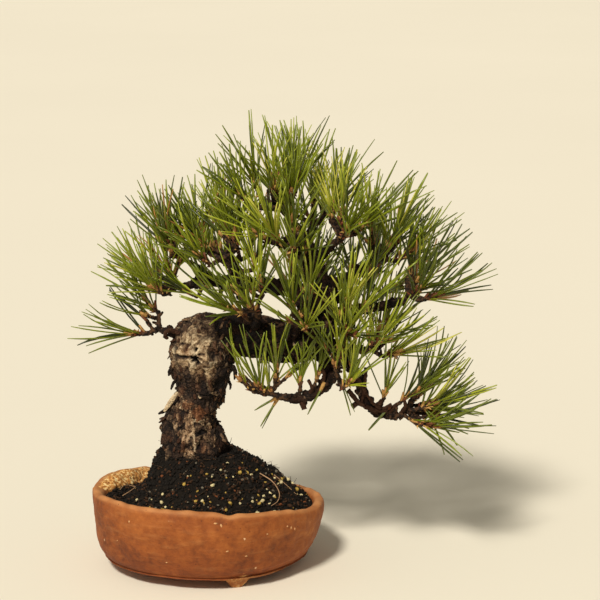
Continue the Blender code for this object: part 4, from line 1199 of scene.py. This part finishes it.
def hand_pinched(radius, angle, height, inner):
    """Where the potter's hand left points of the turned bowl, or of the soil in it. inner is 1 on the inside."""
    upper = smooth_step(BASE_UNDERSIDE, RIM_HEIGHT, height)
    rim = smooth_step(RIM_HEIGHT - 17 * MM, RIM_HEIGHT, height)
    top = smooth_step(RIM_HEIGHT - 4 * MM, RIM_HEIGHT + MM, height)
    lump = bell_round(angle, LUMP_ANGLE, LUMP_SPREAD)
    low = 1 - smooth_step(BASE_UNDERSIDE, BASE_PUSH_TOP, height)
    on_wall = np.minimum(radius / (20 * MM), 1)
    radius = radius * (1 + upper * waves(ROUND_WAVES, angle))
    radius = radius - DENT_DEPTH * bell_round(angle, DENT_ANGLE, DENT_SPREAD) * bell(height - DENT_HEIGHT, DENT_REACH)
    radius = radius - inner * LUMP_THICKNESS * lump * (1 - (1 - LUMP_TOP_SHARE) * top)
    radius = radius + (1 - inner) * on_wall * BASE_PUSH * low * bell_round(angle, BASE_PUSH_ANGLE, BASE_PUSH_SPREAD)
    dip = DIP_DEPTH * smooth_step(*DIP_FROM, angle) * (1 - smooth_step(*DIP_TO, angle))
    wave = waves(RIM_WAVES, angle) + RIM_TILT_X * np.cos(angle) + RIM_TILT_Y * np.sin(angle)
    height = height + rim * (wave - dip) + top * LUMP_LIFT * lump
    return np.stack([radius * np.cos(angle) - LEAN_LEFT * upper, radius * np.sin(angle), height], axis=-1)


def lathe_faces(rows, turns):
    """Quads between the rings of a turned shape whose first and last rings are capped."""
    first = (np.arange(rows - 1) * turns)[:, None]
    here = np.arange(turns)
    after = (here + 1) % turns
    walls = np.stack([first + here, first + after, first + turns + after, first + turns + here], axis=-1)
    caps = np.stack([here[::-1], (rows - 1) * turns + here])
    return [walls.reshape(-1, 4), caps]


def turned_rows(section, turns):
    """Radius, angle, height and inner share for each point of a section turned round the axis."""
    section = np.array(section)
    angle = -math.pi + np.arange(turns) * math.tau / turns
    radius, height, inner = (np.repeat(section[:, part], turns) for part in range(3))
    return radius, np.tile(angle, len(section)), height, inner


ICOSAHEDRON = (1 + math.sqrt(5)) / 2
GRAIN_POINTS = unit(np.array([
    (-1, ICOSAHEDRON, 0), (1, ICOSAHEDRON, 0), (-1, -ICOSAHEDRON, 0), (1, -ICOSAHEDRON, 0),
    (0, -1, ICOSAHEDRON), (0, 1, ICOSAHEDRON), (0, -1, -ICOSAHEDRON), (0, 1, -ICOSAHEDRON),
    (ICOSAHEDRON, 0, -1), (ICOSAHEDRON, 0, 1), (-ICOSAHEDRON, 0, -1), (-ICOSAHEDRON, 0, 1),
], float))  # fmt: skip
GRAIN_FACES = np.array([
    (0, 11, 5), (0, 5, 1), (0, 1, 7), (0, 7, 10), (0, 10, 11), (1, 5, 9), (5, 11, 4), (11, 10, 2), (10, 7, 6),
    (7, 1, 8), (3, 9, 4), (3, 4, 2), (3, 2, 6), (3, 6, 8), (3, 8, 9), (4, 9, 5), (2, 4, 11), (6, 2, 10), (8, 6, 7),
    (9, 8, 1),
])  # fmt: skip
NOTCH_ANGLE = math.radians(-77)
FINGER_DENTS = [
    (-62, 15, 5, 5, 0.8), (-48, 21, 6, 4, 1.0), (-33, 17, 7, 5, 0.9), (-100, 22, 9, 4, 0.6), (-140, 18, 8, 5, 0.7),
    (-55, 10.5, 12, 1.6, -0.6), (-40, 26, 7, 1.8, -0.5), (-88, 29, 14, 2, -0.4), (-120, 27, 9, 3, -0.5),
    (-155, 14, 7, 3, -0.6), (-20, 24, 6, 4, 0.7), (-78, 14, 6, 3, 0.5), (-115, 12, 8, 3, 0.6),
]  # angle and height of the middle, half-width in degrees, half-height and depth in millimetres
CHIPS = [
    (-84, 33.5, 1.5, 0.7), (-81, 32, 0.6, 1.0), (-42, 29, 0.45, 1.1), (-40.5, 27.5, 0.4, 0.9), (-45, 29.5, 0.7, 0.45),
    (-129, 31, 0.6, 0.8), (-69, 19, 1.1, 0.35), (-79, 22.5, 0.9, 0.45), (-58, 28, 0.7, 0.35), (-110, 16, 0.5, 0.5),
    (-140, 22, 0.4, 0.35), (20, 20, 0.6, 0.5), (95, 26, 0.7, 0.4), (170, 18, 0.5, 0.6),
]  # angle and height, and half-width and half-height of pale grit that shows in the clay


def add_pot():
    """The bowl: pinched wall, thick granular lip behind on the left, notch, dents, and the groove over its base."""
    rows = [(0.5, BASE_TOP / MM, 1)] + [(radius, height, 1) for radius, height in POT_INSIDE]
    rows += [(radius, height, 0) for radius, height in POT_OUTSIDE] + [(0.5, BASE_UNDERSIDE / MM, 0)]
    section = np.array(smooth_path(rows, 0.9)) * [MM, MM, 1]
    section[:, 2] = np.clip(section[:, 2], 0, 1)
    radius, angle, height, inner = turned_rows(section, 288)
    points = hand_pinched(radius, angle, height, inner)
    outward = np.stack([np.cos(angle), np.sin(angle), angle * 0], axis=-1)
    top = smooth_step(RIM_HEIGHT - 5 * MM, RIM_HEIGHT, height)
    lump = bell_round(angle, LUMP_ANGLE, LUMP_SPREAD * 0.85)
    points[:, 2] -= 1.3 * MM * bell_round(angle, NOTCH_ANGLE, 0.045) * top
    move = np.zeros(len(points))
    for degrees, high, wide, tall, depth in FINGER_DENTS:
        near = bell_round(angle, math.radians(degrees), math.radians(wide)) * bell(height / MM - high, tall)
        move -= depth * near * (1 - inner)
    groove = bell(height / MM - 8.6 - 1.5 * np.maximum(np.sin(angle + 1.0), 0), 0.6) * (1 - inner)
    move -= 0.9 * groove * bell_round(angle, math.radians(-45), math.radians(42))
    rim_noise = np.array([noise.noise(Vector(point) / (6 * MM)) for point in points])
    broad = np.array([noise.noise(Vector(point) / (17 * MM)) for point in points])
    fine = np.array([noise.noise(Vector(point) / (2.2 * MM)) for point in points])
    grain = np.array([noise.noise(Vector(point) / (0.9 * MM)) for point in points])
    on_lump = lump * smooth_step(RIM_HEIGHT - 12 * MM, RIM_HEIGHT - 3 * MM, height) * np.clip(inner * 2, 0, 1)
    move += 0.85 * broad + 0.2 * fine + 0.35 * rim_noise + 0.45 * grain * on_lump
    points += outward * (move * MM)[:, None]
    points[:, 2] += 0.6 * MM * rim_noise * top
    edge = smooth_step(RIM_HEIGHT - 2.2 * MM, RIM_HEIGHT - 0.4 * MM, height) * (0.7 + 0.5 * rim_noise)
    attributes = {"edge": edge, "lump": np.clip(on_lump * 1.3, 0, 1)}
    add_mesh("pot_bowl", points, lathe_faces(len(section), 288), clay, ["pot"], attributes=attributes)
    outside = inner < 0.01
    add_chips(points[outside], angle[outside], height[outside] / MM)


def add_chips(points, angle, height):
    """Bits of pale grit in the surface of the clay."""
    rng = np.random.default_rng(29)
    corners = []
    for degrees, high, wide, tall in CHIPS:
        turn = math.radians(degrees)
        nearest = points[np.argmin(np.abs(angle - turn) * 50 + np.abs(height - high))]
        frame_rows = np.array([
            [math.cos(turn) * 0.3, math.sin(turn) * 0.3, 0], [-math.sin(turn) * wide, math.cos(turn) * wide, 0],
            [0, 0, tall],
        ])  # fmt: skip
        corners.append(nearest + GRAIN_POINTS * rng.uniform(0.6, 1.25, (12, 1)) @ frame_rows * MM)
    faces = GRAIN_FACES[None] + (np.arange(len(CHIPS)) * 12)[:, None, None]
    look = plain_look("pale_grit", colour(208, 160, 110), 0.85, 0.25, 0.8 * MM, 0.2)
    add_mesh("pot_chips", np.concatenate(corners), [faces.reshape(-1, 3)], look, ["pot"], smooth=False)


ROLL_FROM, ROLL_TO = math.radians(131), math.radians(184)
ROLL_RADIUS = 7.4  # millimetres at its thickest


def add_roll():
    """The fat, granular roll of clay that lies on the rim behind on the left."""
    rings = 70
    angle = np.linspace(ROLL_FROM, ROLL_TO, rings)
    share = np.linspace(0, 1, rings)
    thickness = ROLL_RADIUS * MM * np.sin(math.pi * np.clip(share, 0.03, 0.97)) ** 0.6
    level = np.full(rings, RIM_HEIGHT)
    rim = hand_pinched(np.full(rings, POT_OUTSIDE[1][0] * MM), angle, level, np.zeros(rings))
    outward = np.stack([np.cos(angle), np.sin(angle), angle * 0], axis=-1)
    path = rim - outward * (thickness + 1.8 * MM)[:, None]
    path[:, 2] -= thickness * 0.76
    points, faces = tubes(path[None], thickness[None], 56)
    centres = np.repeat(path, 56, axis=0)
    moves = 1.1 * noise_at(points, 6 * MM) + 0.7 * noise_at(points, 2.2 * MM) + 0.5 * noise_at(points, 1.0 * MM)
    points = points + unit(points - centres) * (moves * MM)[:, None]
    # Painted shade: the roll's underside gets less of the ochre, so it is darker.
    under = smooth_step(0.3, -0.6, (points[:, 2] - centres[:, 2]) / np.repeat(thickness, 56))
    attributes = {"edge": 0 * moves, "lump": 1 - 0.45 * under}
    add_mesh("rim_roll", points, faces, clay, ["pot"], attributes=attributes)


SLAB_FROM, SLAB_TO = math.radians(-96), math.radians(-8)


def add_slab():
    """The lip of the flat slab that the bowl was built on, which stands out over the front foot."""
    angle = np.linspace(SLAB_FROM, SLAB_TO, 90)
    share = np.sin(np.linspace(0.1, math.pi - 0.1, 90)) ** 0.4
    wobble = np.array([noise.noise(Vector((turn * 6, 3.3, 0))) for turn in angle])
    radius = (46.6 + 0.9 * wobble) * MM
    level = (6.3 + 0.5 * wobble + 0.9 * np.maximum(np.sin(angle + 1.0), 0)) * MM
    path = np.stack([radius * np.cos(angle), radius * np.sin(angle), level], axis=-1)
    points, faces = tubes(path[None], (2.6 * MM * share)[None], 16, 0.42, math.radians(90))
    rough = noise_at(points, 2.4 * MM)
    points[:, 2] += 0.25 * MM * rough
    add_mesh("base_slab", points, faces, clay, ["pot"], attributes={"edge": 0.35 + 0.4 * rough, "lump": 0 * rough})


def add_feet():
    """Three wedges of paler clay pressed on under the base."""
    levels, turns = 14, 40
    for number, direction in enumerate(FOOT_ANGLES):
        rise = np.repeat(np.linspace(0, 1, levels), turns)
        angle = np.tile(np.arange(turns) * math.tau / turns, levels)
        width = 4.2 + 8.2 * rise**1.5 - 1.4 * (1 - rise) ** 6
        local = np.stack([width * np.cos(angle) * 0.5, width * np.sin(angle) + 2.2 * rise**2, 9.4 * rise], axis=-1)
        rough = np.array([noise.noise(Vector(point) / 3.5 + Vector((number * 7, 0, 0))) for point in local])
        local[:, :2] *= (1 + 0.13 * rough * np.minimum(rise * 4, 1))[:, None]
        x = FOOT_DISTANCE / MM + local[:, 0]
        points = np.stack([
            x * math.cos(direction) - local[:, 1] * math.sin(direction),
            x * math.sin(direction) + local[:, 1] * math.cos(direction), local[:, 2],
        ], axis=-1) * MM  # fmt: skip
        faces = lathe_faces(levels, turns)
        attributes = {"edge": 0.35 + 0.3 * rough, "lump": 0.25 + 0.3 * rough}
        add_mesh(f"pot_foot_{number + 1}", points, faces, clay, ["pot"], attributes=attributes)


def mound(out, angle):
    """Points on the soil's surface, out from 0 in the middle to 1 at the pot's wall."""
    edge = POT_INSIDE[-2][0] * MM - GAP
    radius = edge * out
    x, y = radius * np.cos(angle), radius * np.sin(angle)
    slope = np.clip((out - LEVEL_PART) / (1 - LEVEL_PART), 0, 1)
    leftness = np.maximum(-np.cos(angle), 0)
    hill = (1 - slope**MOUND_CURVE) ** (1 + LEFT_STEEPNESS * leftness**2)
    z = SOIL_EDGE + (SOIL_TOP - SOIL_EDGE) * hill
    points = np.stack([x, y, z], axis=-1)
    lumps = np.array([noise.noise(Vector(point) / LUMPY_SIZE) for point in points])
    points[:, 2] += LUMPY_DEPTH * lumps * smooth_step(0, 0.05, slope) * smooth_step(1, 0.9, slope)
    rim = np.stack([edge * np.cos(angle), edge * np.sin(angle), np.full(len(points), SOIL_EDGE)], axis=-1)
    shift = hand_pinched(np.full(len(points), edge), angle, np.full(len(points), SOIL_EDGE), 1.0) - rim
    points += shift * slope[:, None]
    points[:, 0] += TRUNK_FOOT_X * (1 - slope)
    return points


def add_soil():
    """The mound, near black and crumbly, closed under its edge along the bowl's inside."""
    turns = 256
    rings = np.linspace(0.004, 1.006, 92)
    angle = -math.pi + np.arange(turns) * math.tau / turns
    out, round_angle = np.repeat(rings, turns), np.tile(angle, len(rings))
    top = mound(out, round_angle)
    crumbs = np.array([
        noise.noise(Vector(point) / (2.6 * MM)) * 0.7 + abs(noise.noise(Vector(point) / (1.2 * MM))) * 0.7
        for point in top
    ])  # fmt: skip
    top[:, 2] += (crumbs * MM - SOIL_SINK) * smooth_step(1.0, 0.96, out)
    wall = [(radius * MM - GAP, height * MM + GAP, 1) for radius, height in reversed(POT_INSIDE[:-2])]
    below = hand_pinched(*turned_rows(wall + [(MM, BASE_TOP + GAP, 1)], turns))
    points = np.vstack([top, below])
    faces = lathe_faces(len(rings) + len(wall) + 1, turns)
    faces = [face_set[:, ::-1] for face_set in faces]
    add_mesh("soil_mound", points, faces, soil, ["soil"])


GRAINS = [
    ("black", (26, 22, 18), 2300, 0.5, 1.1, 0.0), ("brown", (66, 44, 28), 700, 0.45, 1.1, 0.2),
    ("cream", (216, 200, 150), 62, 0.55, 1.45, 1.0), ("yellow", (176, 146, 70), 56, 0.5, 1.3, 1.0),
    ("grey", (112, 104, 88), 90, 0.4, 1.0, 0.85), ("rust", (120, 70, 40), 60, 0.4, 1.0, 0.7),
]  # name, colour, number, least and greatest radius in millimetres, and how far they keep to the front right


def add_grains():
    """Grit of six colours on the mound: the pale ones lie mostly in front and on the right."""
    rng = np.random.default_rng(3)
    for name, base, number, least, greatest, biased in GRAINS:
        out = np.sqrt(rng.uniform(0.12, 0.97, number * 3))
        angle = rng.uniform(-math.pi, math.pi, number * 3)
        liking = 0.06 + 0.94 * bell_round(angle, math.radians(-50), math.radians(42)) * smooth_step(0.35, 0.8, out)
        keep = rng.random(number * 3) < (1 - biased) + biased * liking
        out, angle = out[keep][:number], angle[keep][:number]
        places = mound(out, angle)
        size = rng.uniform(least, greatest, (len(places), 1, 1)) * MM
        shape = GRAIN_POINTS[None] * rng.uniform(0.72, 1.2, (len(places), 12, 1)) * rng.uniform(0.5, 1.25, (len(places), 1, 3))
        turn = np.linalg.qr(rng.normal(size=(len(places), 3, 3)))[0]
        turn *= np.sign(np.linalg.det(turn))[:, None, None]
        points = places[:, None] + (shape @ turn) * size
        points[:, :, 2] += size[:, :, 0] * 0.3 - SOIL_SINK + 0.35 * MM
        faces = GRAIN_FACES[None] + (np.arange(len(places)) * 12)[:, None, None]
        look = plain_look("grit_" + name, colour(*base), 0.9, 0.3, 0.8 * MM, 0.2)
        add_mesh("grains_" + name, points.reshape(-1, 3), [faces.reshape(-1, 3)], look, ["soil"], smooth=False)


def lying_path(spots, lift):
    """A smooth path in metres over the mound through (out, angle in degrees) spots."""
    spots = np.array(spots, float)
    points = mound(spots[:, 0], np.radians(spots[:, 1])) / MM
    points[:, 2] += lift
    return np.array(smooth_path(points, 0.6)) * MM


ROOTS = [
    ([(0.62, -22), (0.74, -24), (0.84, -30), (0.9, -38), (0.93, -46)], 0.32, 1.3),
    ([(0.8, -168), (0.72, -178), (0.74, 170), (0.82, 166), (0.88, 172), (0.86, -178)], 0.3, 1.6),
    ([(0.7, -8), (0.8, -12), (0.9, -14)], 0.22, 1.2),
]  # (out, angle in degrees) spots, radius and height over the soil in millimetres


def add_roots():
    """Thin pale roots and short fibres that lie on the soil."""
    look = plain_look("fine_roots", colour(176, 140, 104), 0.8, 0.25, 1.5 * MM, 0.3)
    for number, (spots, radius, lift) in enumerate(ROOTS):
        path = lying_path(spots, lift)
        points, faces = tubes(path[None], np.linspace(radius, radius * 0.5, len(path))[None] * MM, 6)
        add_mesh(f"root_{number + 1}", points, faces, look, ["soil"])
    rng = np.random.default_rng(17)
    count = 260
    starts = mound(np.sqrt(rng.uniform(0.12, 0.95, count)), rng.uniform(-math.pi, math.pi, count))
    starts[:, 2] += 0.8 * MM
    ways = rng.normal(size=(count, 3)) * [1, 1, 0.35] + [0, 0, 0.25]
    ends = starts + unit(ways) * rng.uniform(1.5, 5.5, (count, 1)) * MM
    paths = bowed(starts, ends, rng.normal(0, 0.7, (count, 3)) * MM, 5)
    sizes = np.linspace(0.17, 0.07, 5) * MM * rng.uniform(0.8, 1.3, (count, 1))
    points, faces = tubes(paths, sizes, 4)
    fibre_look = plain_look("fibres", colour(70, 52, 36), 0.9, 0.4, 3 * MM, 0.2)
    add_mesh("soil_fibres", points, faces, fibre_look, ["soil"])


# Stage


def add_stage():
    """A wide pale floor, soft light from all round, and a main light from the upper left in front."""
    bpy.ops.mesh.primitive_circle_add(vertices=96, radius=9, fill_type="NGON", location=(0, 0, 0))
    floor = bpy.context.object
    floor.name = "studio_floor"
    floor.data.materials.append(stage_look())
    world = bpy.data.worlds.new("studio")
    world.use_nodes = True
    sky = world.node_tree.nodes["Background"]
    sky.inputs["Color"].default_value = colour(252, 246, 232)
    sky.inputs["Strength"].default_value = 0.31
    bpy.context.scene.world = world
    for name, energy, angle, place in (
        ("main_light", 3.0, 10, (-0.27, -0.62, 0.74)), ("fill_light", 0.12, 40, (-0.9, -0.2, 0.4)),
    ):  # fmt: skip
        light = bpy.data.lights.new(name, "SUN")
        light.energy = energy
        light.angle = math.radians(angle)
        light.color = (1.0, 0.95, 0.87)
        lamp = bpy.data.objects.new(name, light)
        lamp.rotation_euler = Vector(place).to_track_quat("Z", "Y").to_euler()
        bpy.context.scene.collection.objects.link(lamp)
    bpy.context.scene.view_settings.view_transform = "Standard"


def add_camera():
    lens = bpy.data.cameras.new("camera")
    lens.sensor_width = 36
    lens.lens = CAMERA_LENS
    lens.clip_end = 100
    camera = bpy.data.objects.new("camera", lens)
    back = Vector((0, -math.cos(CAMERA_ELEVATION), math.sin(CAMERA_ELEVATION)))
    camera.location = AXIS + CAMERA_TARGET + back * CAMERA_DISTANCE
    camera.rotation_euler = (math.radians(90) - CAMERA_ELEVATION, 0, 0)
    bpy.context.scene.collection.objects.link(camera)
    bpy.context.scene.camera = camera


def add_foliage():
    ends = limb_ends()
    limb_rows = limb_segments()
    foliage = Foliage(limb_rows)
    masses, taken = [], []
    for mass in MASSES:
        grown, rows = grow_mass(mass, ends, limb_rows, taken)
        masses.append(grown)
        taken.append(rows)
        for shoot in grown["shoots"]:
            foliage.add_shoot(grown, shoot)
    add_extra_shoots(foliage, {mass["name"]: mass["heart"] for mass in masses})
    add_loose_needles(foliage)
    names = [mass[0] for mass in MASSES]
    add_needles(foliage.pairs, names)
    add_twigs(foliage, masses, names)


bark = bark_look()
clay = clay_look()
soil = soil_look()
add_pot()
add_roll()
add_slab()
add_feet()
add_soil()
add_grains()
add_roots()
trunk_piece = add_trunk()
add_flakes(trunk_piece)
add_loose_flakes()
add_boughs()
add_spurs()
add_foliage()
add_stage()
add_camera()
